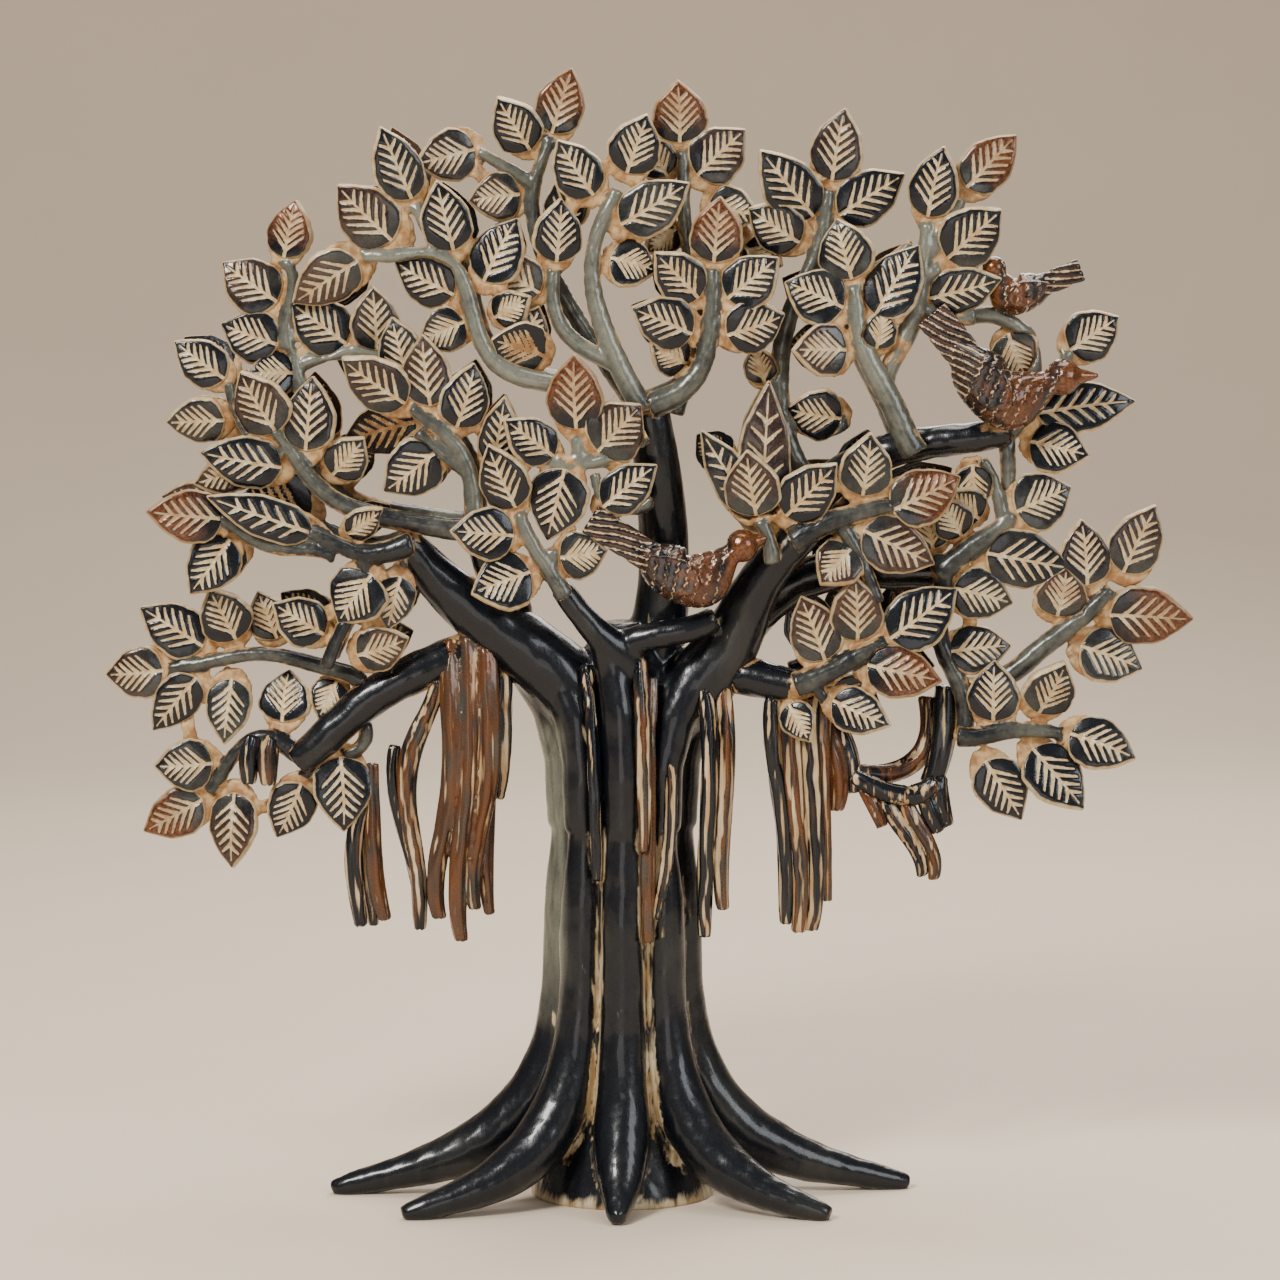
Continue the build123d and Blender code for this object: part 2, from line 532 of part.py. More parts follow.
HANGING_ROOTS = {
    "outer_left_hanging_roots": (
        ((-88, -12, 136, 1.0), (-91, -13, 122, 1.1), (-90.5, -13, 108, 1.0), (-88.5, -13, 95, 0.8)),
        ((-85, -11, 150, 0.9), (-84.5, -12, 128, 1.0), (-84, -12, 114, 1.1), (-80.5, -12, 97, 0.8)),
        ((-87.5, -8, 140, 0.7), (-87, -9, 118, 0.8), (-85.5, -9, 104, 0.8), (-84.5, -9, 94.5, 0.6)),
    ),
    "left_hanging_roots": (
        ((-64, -11, 186, 1.2), (-67, -14, 165, 1.2), (-72.5, -14, 148, 1.3), (-72, -14, 132, 1.1),
         (-69.5, -14, 116, 1.0), (-68.5, -14, 94, 0.7)),
        ((-57, -10, 192, 1.3), (-57, -15, 165, 1.5), (-58.5, -15, 138, 1.3), (-62, -15, 120, 1.2),
         (-62, -15, 98, 0.9)),
        ((-51, -10, 196, 1.3), (-51.5, -15, 165, 1.4), (-53, -16, 138, 1.2), (-55.5, -16, 114, 1.2),
         (-54.5, -16, 90.5, 0.8)),
        ((-44.5, -9, 198, 1.3), (-45, -14, 168, 1.6), (-46, -14, 142, 1.4), (-49.5, -14, 122, 1.1),
         (-50, -14, 101, 0.8)),
        ((-49, -6, 192, 1.2), (-46, -8, 160, 1.4), (-46.5, -9, 130, 1.2), (-46.5, -10, 112, 1.0),
         (-45.2, -10, 98.5, 0.6)),
        ((-39, -7, 190, 1.2), (-40.5, -9, 165, 1.3), (-41, -9, 148, 1.1), (-42, -9, 138, 0.7)),
        ((-77, -10, 156, 0.8), (-77.5, -11, 142, 0.8), (-73.5, -10, 124, 0.8), (-70, -9.5, 108, 0.6)),
    ),
    "middle_hanging_roots": (
        ((27, -13, 178, 1.1), (29.5, -17, 150, 1.1), (28.5, -17, 122, 1.1), (28, -17, 92, 0.8)),
        ((33.5, -11, 178, 1.1), (35, -15, 150, 1.1), (33.5, -15, 124, 1.1), (34, -15, 101, 0.8)),
    ),
    "right_hanging_roots": (
        ((53, -11, 178, 1.3), (50.8, -14, 158, 1.2), (54, -14, 136, 1.2), (55.6, -14, 116, 1.1),
         (55.6, -14, 96, 0.8)),
        ((59, -12, 178, 1.3), (57, -16, 156, 1.2), (59, -16, 132, 1.2), (60.5, -16, 112, 1.1),
         (59.6, -16, 93.5, 0.9)),
        ((64.5, -12, 179, 1.3), (63.5, -15, 158, 1.2), (64.5, -15, 134, 1.2), (65.5, -15, 112, 1.1),
         (63.8, -15, 94, 0.9)),
        ((69, -10, 176, 1.0), (67.5, -12, 150, 1.1), (68, -12, 124, 1.1), (69, -12, 103.5, 0.8)),
        ((60, -6, 174, 1.2), (69, -8, 160, 1.4), (73, -9, 147, 1.4), (72.5, -9, 134, 0.9)),
        ((70, -4, 166, 1.0), (77, -7, 152, 1.2), (78.5, -8, 140, 0.8)),
    ),
    "far_right_hanging_roots": (
        ((110, -7, 176, 1.6), (109, -8, 162, 1.7), (107, -9, 150, 1.5), (104.5, -9, 143, 1.4)),
        ((104, -4, 172, 1.4), (104, -5, 158, 1.4), (98, -6, 149.5, 1.3), (88, -7, 146, 1.2),
         (79, -8, 147.5, 0.9)),
        ((106, -13, 144, 1.1), (96, -13.5, 139.5, 1.3), (86, -13, 142, 1.2), (78, -12, 146, 0.8)),
        ((82, -11, 142, 0.9), (85.5, -12, 135.5, 1.0), (88, -12, 129, 0.7)),
        ((89, -11, 139, 1.0), (92.5, -12, 131.5, 1.1), (98.5, -12, 123, 1.0), (101.5, -12, 112, 0.7)),
        ((95.5, -11, 139, 1.0), (98.5, -12.5, 131.5, 1.1), (104, -12.5, 122, 1.0), (105.5, -12.5, 111, 0.7)),
        ((102, -11, 141, 1.1), (104, -12, 134, 1.2), (107, -12, 127, 0.9)),
        ((107, -10, 146, 1.1), (107.5, -11, 138, 1.2), (110.3, -11, 129, 0.8)),
    ),
    "left_root_knot": (
        ((-124, -14, 160, 1.0), (-126, -15, 152, 1.3), (-126, -15, 144, 0.9)),
        ((-118.5, -14, 160, 1.0), (-119.5, -15, 152, 1.3), (-119.5, -15, 143.5, 0.9)),
    ),
}

# ---------------------------------------------------------------- birds

# Name, layout position of the tail end, breast and crown, depth, and size
BIRDS = (
    ("centre_bird", (-10.5, 234), (20, 214.5), (40, 225), -24, 1.0),
    ("right_bird", (103, 302), (123.5, 276.5), (147, 281), -18, 1.12),
    ("top_bird", (153.5, 316.5), (132.5, 308), (124.5, 317), -10, 0.72),
)


def bird(tail, breast, crown, depth, size):
    """A bird seated on its perch: rounded body, head with a beak, fanned tail and folded wings."""
    girth = BIRD_GIRTH * size
    tail_end = place(tail[0], depth, tail[1])
    middle = place(breast[0], depth, breast[1])
    head = place(crown[0], depth, crown[1])
    back = (middle - tail_end).normalized()
    rump = middle - back * girth * 1.55
    chest = middle + back * girth * 0.75
    neck = chest * 0.42 + head * 0.58
    body = limb(
        [rump - back * girth * 0.4, rump, middle - back * girth * 0.5, middle + back * girth * 0.25, neck, head],
        [girth * 0.26, girth * 0.52, girth * 0.98, girth * 1.0, girth * 0.62, girth * 0.50],
    )
    skull = Pos(*head) * Sphere(girth * 0.60)
    gaze = (head - chest).normalized() + back * 0.55
    gaze = gaze.normalized()
    beak = Solid.make_cone(girth * 0.30, girth * 0.05, girth * 0.78, Plane(head + gaze * girth * 0.42, z_dir=gaze))
    fan = (tail_end - rump).length
    tail_plane = Plane(rump + back * girth * 0.3, x_dir=-back, z_dir=(0, -1, 0))
    tail_shape = tail_plane * Pos(fan / 2 + girth * 0.15, 0, 0) * Box(fan + girth * 0.3, girth * 1.15, girth * 0.42)
    whole = body.fuse(skull, beak, tail_shape)
    for hand in (-1, 1):
        shoulder = middle + Vector(0, hand * girth * 0.72, 0) - back * girth * 0.15
        wing = Plane(shoulder, x_dir=-back, z_dir=(0, hand, 0)) * scaled_wing(girth)
        whole = whole.fuse(wing)
    whole = max(whole.solids(), key=lambda solid: solid.volume)
    return seat(whole, [tail_end, middle, head], girth * 1.3)


def scaled_wing(girth):
    """A folded wing as a low pointed shield."""
    length = girth * 2.5
    high = girth * 0.62
    points = ((-0.34, 0.0), (-0.22, 0.72), (0.06, 1.0), (0.36, 0.62), (0.66, 0.0))
    upper = [Vector(share * length, wide * high) for share, wide in points]
    lower = [Vector(point.X, -point.Y) for point in upper]
    outline = Wire([Edge.make_spline(upper), Edge.make_spline(lower[::-1])])
    return Solid.extrude(Face(outline), Vector(0, 0, girth * 0.42))


# ---------------------------------------------------------------- assembly


def write(name, solids, write_pcurves=True):
    """Write one named piece, or a group of like pieces, to its own file."""
    shape = solids[0] if len(solids) == 1 else Compound(children=list(solids))
    shape.label = name
    export_step(shape, f"parts/{name}.step", write_pcurves=write_pcurves)


def build_trunk():
    """The column, its root strands and the thin roots on its face."""
    axis = [place(0, 0, height) for height, _, _ in CORE_SECTIONS]
    write("trunk_core", [seat(trunk_core(), axis, CORE_RADIUS * CORE_SECTIONS[0][1])])
    for name, bearing, reach, sweep in FRONT_ROOTS:
        write(name, [root_strand(bearing, reach, sweep)])
    write("rear_roots", [root_strand(*row) for row in REAR_ROOTS])


def build_boughs():
    """The boughs, each seated on the trunk and on the boughs before it."""
    for name, rows in BOUGHS:
        write(name, [laid_limb(rows)])


def build_trunk_roots():
    """The thin roots that lie on the face of the trunk."""
    write("trunk_aerial_roots", [laid_limb(rows, TRUNK_ROOT_RADIUS) for rows in TRUNK_ROOTS])


def spray_twigs(spray):
    """The twigs of one spray, and the course that each layer of them takes."""
    depth, twigs, _, rear = SPRAYS[spray]
    solids = []
    courses = []
    for level in ((depth, depth + REAR_SHIFT) if rear else (depth,)):
        paths = []
        for order, rows in enumerate(twigs):
            points = [place(x, level + SIDE_TWIG_STEP * order, z) for x, z, _ in rows]
            solids.append(seated_limb(points, [TWIG_RADIUS * share for _, _, share in rows]))
            paths.append(points)
        courses.append(paths)
    return solids, courses


def spray_leaves(spray, courses):
    """The leaves of one spray, front layer first."""
    depth, _, rows, _ = SPRAYS[spray]
    solids = []
    for layer, paths in enumerate(courses):
        for index, row in enumerate(rows):
            facing = 1 if layer else -1
            solids.append(leaf(row, depth + layer * REAR_SHIFT, paths, index % 3, facing))
    return solids


def build_twigs():
    """The twigs of every spray, returned with the courses their leaves hang from."""
    courses = {}
    for name, sprays in SPRAY_GROUPS.items():
        solids = []
        for spray in sprays:
            twigs, courses[spray] = spray_twigs(spray)
            solids += twigs
        write(f"{name}_twigs", solids)
    return courses


def build_leaves(courses):
    """The leaves of every spray."""
    for name, sprays in SPRAY_GROUPS.items():
        solids = []
        for spray in sprays:
            solids += spray_leaves(spray, courses[spray])
        write(f"{name}_leaves", solids, write_pcurves=False)


def build_birds():
    """The three birds, each seated on its perch."""
    for name, tail, breast, crown, depth, size in BIRDS:
        write(name, [bird(tail, breast, crown, depth, size)])


def build_hanging_roots():
    """The bundles of roots that hang from the boughs."""
    for name, bundle in HANGING_ROOTS.items():
        write(name, [laid_limb(rows, HANGING_ROOT_RADIUS) for rows in bundle])


os.makedirs("parts", exist_ok=True)
build_trunk()
build_boughs()
build_trunk_roots()
twig_courses = build_twigs()
build_birds()
build_hanging_roots()
build_leaves(twig_courses)
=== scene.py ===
"""Looks of the cast brass tree of life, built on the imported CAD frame. Lengths are in metres."""

import logging
import math
from collections.abc import Sequence
from dataclasses import dataclass, field
from enum import Enum
from typing import Any

import bpy
import numpy as np
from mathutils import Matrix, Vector
from mathutils.bvhtree import BVHTree
from mathutils.kdtree import KDTree


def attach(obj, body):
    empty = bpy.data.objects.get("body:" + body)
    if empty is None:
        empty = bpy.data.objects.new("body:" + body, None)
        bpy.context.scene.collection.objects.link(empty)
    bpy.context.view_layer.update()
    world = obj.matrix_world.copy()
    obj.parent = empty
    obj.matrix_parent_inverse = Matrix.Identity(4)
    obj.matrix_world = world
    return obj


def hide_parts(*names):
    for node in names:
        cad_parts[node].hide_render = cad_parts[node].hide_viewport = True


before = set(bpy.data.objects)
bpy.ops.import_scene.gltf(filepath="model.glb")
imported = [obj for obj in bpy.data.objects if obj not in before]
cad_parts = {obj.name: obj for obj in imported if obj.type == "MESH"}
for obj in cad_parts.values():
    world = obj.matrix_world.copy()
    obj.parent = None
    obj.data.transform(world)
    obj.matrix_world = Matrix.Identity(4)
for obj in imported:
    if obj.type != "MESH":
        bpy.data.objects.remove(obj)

LOG = logging.getLogger("tree_of_life")
MM = 0.001
Colour = tuple[float, float, float]
Array = np.ndarray


# ------------------------------------------------------------------ shader maths


class Graph:
    """A material's node tree, with one method that adds any node."""

    def __init__(self, material: bpy.types.Material) -> None:
        """Start an empty tree on a material.

        Args:
            material: The material whose nodes are built.
        """
        material.use_nodes = True
        self.tree = material.node_tree
        self.tree.nodes.clear()

    def add(self, kind: str, settings: dict[str, Any] | None = None,
            values: dict[int | str, Any] | None = None) -> bpy.types.Node:
        """Add a node, set its settings, then its values and links.

        Args:
            kind: The node's type name.
            settings: Attributes of the node, set before its inputs.
            values: Inputs by index or name, each a constant or a Term.

        Returns:
            The new node.
        """
        node = self.tree.nodes.new(kind)
        for name, setting in (settings or {}).items():
            setattr(node, name, setting)
        for key, value in (values or {}).items():
            if isinstance(value, Term):
                self.tree.links.new(value.socket, node.inputs[key])
            else:
                node.inputs[key].default_value = value
        return node

    def attribute(self, name: str, output: str = "Fac") -> "Term":
        """A mesh attribute's value."""
        return Term(self, self.add("ShaderNodeAttribute", {"attribute_name": name}).outputs[output])

    def place(self, stretch: Sequence[float] = (1.0, 1.0, 1.0)) -> "Term":
        """Object coordinates, stretched along the axes."""
        coords = Term(self, self.add("ShaderNodeTexCoord").outputs["Object"])
        node = self.add("ShaderNodeVectorMath", {"operation": "MULTIPLY"}, {0: coords, 1: tuple(stretch)})
        return Term(self, node.outputs[0])

    def noise(self, scale: float, detail: float = 3.0, stretch: Sequence[float] = (1.0, 1.0, 1.0)) -> "Term":
        """Noise from 0 to 1 at a scale in cells per metre."""
        values = {"Vector": self.place(stretch), "Scale": scale, "Detail": detail, "Roughness": 0.55}
        return Term(self, self.add("ShaderNodeTexNoise", None, values).outputs[0])

    def cells(self, scale: float) -> "Term":
        """Distance to the nearest point of a scattered set, for pits and mottling."""
        values = {"Vector": self.place(), "Scale": scale}
        return Term(self, self.add("ShaderNodeTexVoronoi", None, values).outputs["Distance"])

    def mix(self, share: "Term | float", low: "Term | Colour", high: "Term | Colour") -> "Term":
        """A colour between two colours."""
        values = {0: share, 6: rgba(low), 7: rgba(high)}
        node = self.add("ShaderNodeMix", {"data_type": "RGBA", "clamp_factor": True}, values)
        return Term(self, node.outputs[2])

    def close(self, values: dict[int | str, Any]) -> None:
        """Finish the tree with a surface shader that has these values."""
        shader = self.add("ShaderNodeBsdfPrincipled", None, values)
        output = self.add("ShaderNodeOutputMaterial")
        self.tree.links.new(shader.outputs[0], output.inputs[0])


def rgba(colour: "Term | Colour") -> "Term | tuple[float, ...]":
    """A colour as a link or as four numbers."""
    return colour if isinstance(colour, Term) else (*colour, 1.0)


class Term:
    """A value in a shader, with arithmetic that adds Math nodes."""

    def __init__(self, graph: Graph, socket: bpy.types.NodeSocket) -> None:
        """Wrap a socket.

        Args:
            graph: The tree the socket belongs to.
            socket: The output that carries the value.
        """
        self.graph = graph
        self.socket = socket

    def calc(self, operation: str, *others: "Term | float") -> "Term":
        """A Math node on this value and the others."""
        values = dict(enumerate((self, *others)))
        return Term(self.graph, self.graph.add("ShaderNodeMath", {"operation": operation}, values).outputs[0])

    def __add__(self, other: "Term | float") -> "Term":
        """Sum."""
        return self.calc("ADD", other)

    __radd__ = __add__

    def __mul__(self, other: "Term | float") -> "Term":
        """Product."""
        return self.calc("MULTIPLY", other)

    __rmul__ = __mul__

    def __sub__(self, other: "Term | float") -> "Term":
        """Difference."""
        return self.calc("SUBTRACT", other)

    def __rsub__(self, other: float) -> "Term":
        """Difference from a number."""
        return (self * -1.0) + other

    def __truediv__(self, other: "Term | float") -> "Term":
        """Quotient."""
        return self.calc("DIVIDE", other)

    def size(self) -> "Term":
        """Absolute value."""
        return self.calc("ABSOLUTE")

    def step(self, low: float, high: float) -> "Term":
        """A smooth step from 0 at low to 1 at high."""
        values = {0: self, 1: low, 2: high, 3: 0.0, 4: 1.0}
        settings = {"interpolation_type": "SMOOTHSTEP", "clamp": True}
        if high < low:
            values = {0: self * -1.0, 1: -low, 2: -high, 3: 0.0, 4: 1.0}
        return Term(self.graph, self.graph.add("ShaderNodeMapRange", settings, values).outputs[0])

    def most(self, other: "Term | float") -> "Term":
        """The larger of two values."""
        return self.calc("MAXIMUM", other)

    def held(self) -> "Term":
        """The value held between 0 and 1."""
        return self.calc("MINIMUM", 1.0).calc("MAXIMUM", 0.0)


# ------------------------------------------------------------------ finishes


@dataclass(frozen=True)
class Paint:
    """Base of every finish: a named material whose node tree a subclass fills.

    Args:
        name: The material's name.
    """

    name: str

    def material(self) -> bpy.types.Material:
        """The new material, with this finish laid on it."""
        made = bpy.data.materials.new(self.name)
        self.lay(Graph(made))
        return made

    def lay(self, graph: Graph) -> None:
        """Fill a node tree with the finish."""
        raise NotImplementedError


@dataclass(frozen=True)
class Finish(Paint):
    """The metal's surface, from its dark patina to the pale brass where it is rubbed back.

    Pieces with this finish have wear and tone attributes.

    Args:
        dark: Colour of the deepest patina.
        film: Colour of the thin grey film over the patina.
        pale: Colour of the rubbed metal.
        warm: Warmer colour of the rubbed metal.
        film_share: How much of the film shows.
        gloss: Roughness of the dark patina.
        dull: Roughness of the rubbed metal.
        coat: Weight of the clear wax over the patina.
        pit: Depth of the cast pitting.
        grain: Stretch of the noise along the axes, for streaks.
    """

    dark: Colour
    film: Colour
    pale: Colour
    warm: Colour
    film_share: float = 0.3
    gloss: float = 0.26
    dull: float = 0.55
    coat: float = 0.35
    pit: float = 0.00025
    grain: tuple[float, float, float] = (1.0, 1.0, 1.0)

    def patina(self, graph: Graph) -> tuple[Term, Term]:
        """The dark coat's colour and a fine noise shared by colour and relief.

        Args:
            graph: The tree to add to.

        Returns:
            The colour and the noise.
        """
        broad = graph.noise(42.0, 2.0, self.grain)
        mid = graph.noise(310.0, 4.0, self.grain)
        tone = graph.attribute("tone")
        film = (broad * 0.65 + mid * 0.35 + tone * 0.25).step(0.66 - 0.3 * self.film_share, 0.86)
        # where the tone passes 1 (the trunk's left side), the colour turns further towards grey
        extra = (tone - 1.0).held() * (mid.step(0.3, 0.6) * 0.45 + 0.4)
        return graph.mix((film * self.film_share + extra).held(), self.dark, self.film), mid

    def rubbed(self, graph: Graph, mid: Term) -> Term:
        """The rubbed metal's colour.

        Args:
            graph: The tree to add to.
            mid: The shared noise.

        Returns:
            The colour.
        """
        worn = graph.mix(mid.step(0.35, 0.68), self.warm, self.pale)
        grime = graph.cells(620.0).step(0.30, 0.06) * 0.35
        return graph.mix(grime, worn, self.film)

    def surface(self, graph: Graph, colour: Term, wear: Term, height: Term) -> None:
        """Finish the tree with the metal shader.

        Args:
            graph: The tree to add to.
            colour: The base colour.
            wear: How far the metal is rubbed back, from 0 to 1.
            height: Relief for the bump.
        """
        fine = graph.noise(1500.0, 2.0)
        rough = wear * (self.dull - self.gloss) + self.gloss + (fine - 0.5) * 0.22
        bump = graph.add("ShaderNodeBump", None, {"Strength": 0.55, "Distance": self.pit, "Height": height})
        values = {
            "Base Color": colour,
            "Metallic": 0.30 - wear * 0.10,
            "Roughness": rough.held(),
            "Specular IOR Level": 0.38,
            "Coat Weight": (1.0 - wear) * self.coat,
            "Coat Roughness": 0.07,
            "Coat IOR": 1.38,
            "Normal": Term(graph, bump.outputs[0]),
        }
        graph.close(values)

    def lay(self, graph: Graph) -> None:
        """Fill a tree: patina, rubbed back where the wear says so."""
        dark, mid = self.patina(graph)
        fine = graph.noise(900.0, 3.0, self.grain)
        wear = (graph.attribute("wear") + (mid - 0.5) * 0.45 + (fine - 0.5) * 0.3).step(0.34, 0.58)
        colour = graph.mix(wear, dark, self.rubbed(graph, mid))
        relief = mid * 0.7 + fine * 0.4 + graph.cells(420.0) * 0.3
        self.surface(graph, colour, wear, relief)


@dataclass(frozen=True)
class Veins:
    """The engraved pattern on a leaf, used for its relief and for its colour.

    Args:
        count: Side veins on each hand.
        first: Where the first leaves the midrib, as a share of the length.
        pitch: Spacing along the midrib, as a share of the length.
        lean: How far a side vein runs forward for each step outward.
        rib: Half width of the midrib in millimetres.
        stroke: Half width of a side vein in millimetres.
        reach: Share of the half width that a side vein reaches.
        bend: How far a side vein curves back at its end, as a share of the pitch.
        depth: Depth of the engraving.
    """

    count: int = 5
    first: float = 0.13
    pitch: float = 0.142
    lean: float = 1.05
    rib: float = 0.50
    stroke: float = 0.60
    reach: float = 0.76
    bend: float = 0.16
    depth: float = 0.55 * MM

    def relief(self, x: Array, y: Array, v: Array, length: float, stagger: float) -> Array:
        """How much of each point is engraved.

        Args:
            x: Distance along the leaf in millimetres.
            y: Distance across it, signed.
            v: Share of the half width, signed.
            length: The leaf's length in millimetres.
            stagger: Shift of one hand's veins in pitches.

        Returns:
            Values from 0 to 1.
        """
        across = np.abs(y)
        rib = np.clip((self.rib * (1.25 - 0.8 * x / length) - across) / 0.22 + 0.5, 0.0, 1.0)
        rib *= np.clip((0.92 - x / length) / 0.03, 0.0, 1.0)
        turn = (x - across * self.lean) / (self.pitch * length) - self.first / self.pitch
        turn = turn - stagger * np.sign(y) + self.bend * v**2
        near = np.abs(turn - np.round(turn)) * self.pitch * length * 0.69
        wide = self.stroke * (1.18 - 0.95 * np.abs(v))
        vein = np.clip((wide - near) / 0.22 + 0.5, 0.0, 1.0)
        vein *= np.clip((self.reach - np.abs(v)) / 0.08, 0.0, 1.0)
        vein *= (turn > -0.5) & (turn < self.count - 0.5)
        return np.maximum(rib, vein)

    def mask(self, graph: Graph) -> Term:
        """The same pattern in a shader.

        Args:
            graph: The tree to add to.

        Returns:
            The pattern from 0 to 1.
        """
        uv = graph.attribute("leaf_place", "Vector")
        parts = graph.add("ShaderNodeSeparateXYZ", None, {0: uv})
        x = Term(graph, parts.outputs[0])
        y = Term(graph, parts.outputs[1])
        v = Term(graph, parts.outputs[2])
        length = graph.attribute("leaf_length")
        wobble = (graph.noise(420.0, 2.0) - 0.5) * 0.5
        across = y.size()
        along = x / length
        rib = (1.25 - along * 0.8) * self.rib - across + wobble * 0.5
        rib = rib.step(-0.10, 0.10) * along.step(0.93, 0.90)
        turn = (x - across * self.lean) / (length * self.pitch) - self.first / self.pitch
        turn = turn - graph.attribute("leaf_stagger") * y.calc("SIGN") + v * v * self.bend + wobble * 0.3
        near = (turn - turn.calc("ROUND")).size() * length * (self.pitch * 0.69)
        wide = (1.18 - v.size() * 0.95) * self.stroke + wobble
        vein = (wide - near).step(-0.10, 0.10) * v.size().step(self.reach, self.reach - 0.05)
        vein = vein * turn.step(-0.52, -0.48) * turn.step(self.count - 0.48, self.count - 0.52)
        return rib.most(vein)


@dataclass(frozen=True)
class LeafFinish(Finish):
    """The finish of a leaf, with pale veins on a dark face, a painted highlight along its bevelled edge, and
    amber on some tips.

    Args:
        veins: The engraved pattern.
        amber: Colour of the thin warm patina.
        umber: Its darker shade.
    """

    veins: Veins = field(default_factory=Veins)
    amber: Colour = (0.150, 0.050, 0.014)
    umber: Colour = (0.045, 0.016, 0.008)

    def lay(self, graph: Graph) -> None:
        """Fill a tree: pale veins and wall on a dark face, a painted highlight along the bevelled edge, with
        amber towards some tips.
        """
        dark, mid = self.patina(graph)
        fine = graph.noise(1100.0, 3.0)
        amber_share = graph.attribute("leaf_amber")
        glow = amber_share * (graph.attribute("leaf_along") + (mid - 0.5) * 0.5).step(0.10, 0.60)
        warm = graph.mix(fine.step(0.35, 0.65), self.umber, self.amber)
        dark = graph.mix(glow, dark, warm)
        worn = self.rubbed(graph, mid)
        engraved = self.veins.mask(graph) * graph.attribute("leaf_face")
        # painted highlight: a pale band along the bevelled edge of the face, standing in for the light that
        # edge catches
        rim_highlight = (graph.attribute("leaf_rim_highlight") + (mid - 0.5) * 0.7).step(0.40, 0.75)
        wall = graph.attribute("leaf_wall") + (mid - 0.5) * 0.5 + graph.attribute("tone") * 0.2
        wall = wall.step(0.45, 0.75)
        # the pale share holds the engraved veins, the wall and the painted edge highlight
        pale = (engraved * (fine * 0.9 + 0.38)).most(rim_highlight * 0.55).most(wall * 0.92).held()
        warmth = graph.mix(glow * 0.45, worn, self.amber)
        colour = graph.mix(pale, dark, warmth)
        relief = fine * 0.4 + mid * 0.5 - engraved * 0.5
        self.surface(graph, colour, pale, relief)


@dataclass(frozen=True)
class StreakFinish(Finish):
    """The streaked finish of the hanging roots, brown, black and pale by turns.

    Args:
        brown: The warm patina's colour.
    """

    brown: Colour = (0.115, 0.040, 0.011)

    def lay(self, graph: Graph) -> None:
        """Fill a tree: streaks that run down each root."""
        dark, mid = self.patina(graph)
        fine = graph.noise(900.0, 3.0, self.grain)
        strand = graph.attribute("tone")
        brown = graph.mix(graph.noise(160.0, 2.0, (1.0, 1.0, 0.3)).step(0.25, 0.65), dark, self.brown)
        streak = graph.noise(520.0, 2.0, (1.0, 1.0, 0.07))
        base = graph.mix((strand * 0.5 + streak * 0.9 + (mid - 0.5) * 0.4).step(0.60, 0.78), dark, brown)
        pale = (graph.attribute("wear") + (streak - 0.5) * 1.7).step(0.46, 0.66)
        colour = graph.mix(pale, base, self.rubbed(graph, mid))
        self.surface(graph, colour, pale, streak * 0.8 + fine * 0.3)


@dataclass(frozen=True)
class FeatherFinish(Finish):
    """The finish of a bird: amber head, flecked body and a striped tail.

    Args:
        amber: Colour of the head and breast.
        brown: Colour of the plumage.
    """

    amber: Colour = (0.210, 0.066, 0.014)
    brown: Colour = (0.045, 0.020, 0.012)

    def lay(self, graph: Graph) -> None:
        """Fill a tree: plumage with pale cuts, and an amber head and belly."""
        dark, mid = self.patina(graph)
        fine = graph.noise(1000.0, 3.0)
        along = graph.attribute("bird_along")
        plume = graph.mix(mid.step(0.35, 0.65), dark, self.brown)
        head = graph.mix(fine.step(0.25, 0.75), self.brown, self.amber)
        base = graph.mix((along + (mid - 0.5) * 0.08).step(0.78, 0.84), plume, head)
        belly = (along + (mid - 0.5) * 0.6).step(0.50, 0.66) * along.step(0.80, 0.70)
        base = graph.mix(belly * 0.7, base, head)
        cut = graph.attribute("bird_cut")
        speckle = (graph.noise(700.0, 2.0) - 0.5) * 1.3
        pale = (cut + speckle + graph.attribute("wear") * 0.5).step(0.55, 0.85)
        pale = pale * along.step(0.86, 0.80)
        colour = graph.mix(pale, base, self.rubbed(graph, mid))
        self.surface(graph, colour, pale * 0.8, fine * 0.4 + mid * 0.4 - cut * 0.4)


@dataclass(frozen=True)
class Matte(Paint):
    """A plain studio surface with a faint grain.

    Args:
        colour: Its colour.
    """

    colour: Colour

    def lay(self, graph: Graph) -> None:
        """Fill a tree: one colour with slightly darker patches."""
        grain = graph.noise(9.0, 3.0)
        shade = tuple(0.93 * part for part in self.colour)
        graph.close({"Base Color": graph.mix(grain, self.colour, shade), "Roughness": 0.9})


# ------------------------------------------------------------------ meshes


@dataclass
class Solid:
    """A closed mesh as arrays, in metres.

    Args:
        points: Corner positions.
        faces: Triangles or quads as corner numbers.
    """

    points: Array
    faces: Array

    def normals(self) -> tuple[Array, Array]:
        """Each face's direction and area, where the faces are triangles."""
        first, second, third = (self.points[self.faces[:, corner]] for corner in range(3))
        cross = np.cross(second - first, third - first)
        size = np.linalg.norm(cross, axis=1)
        return cross / np.maximum(size, 1e-18)[:, None], size / 2

    def centre(self) -> Array:
        """The mean of the corners."""
        return self.points.mean(axis=0)


WELD_STEPS = 1e6


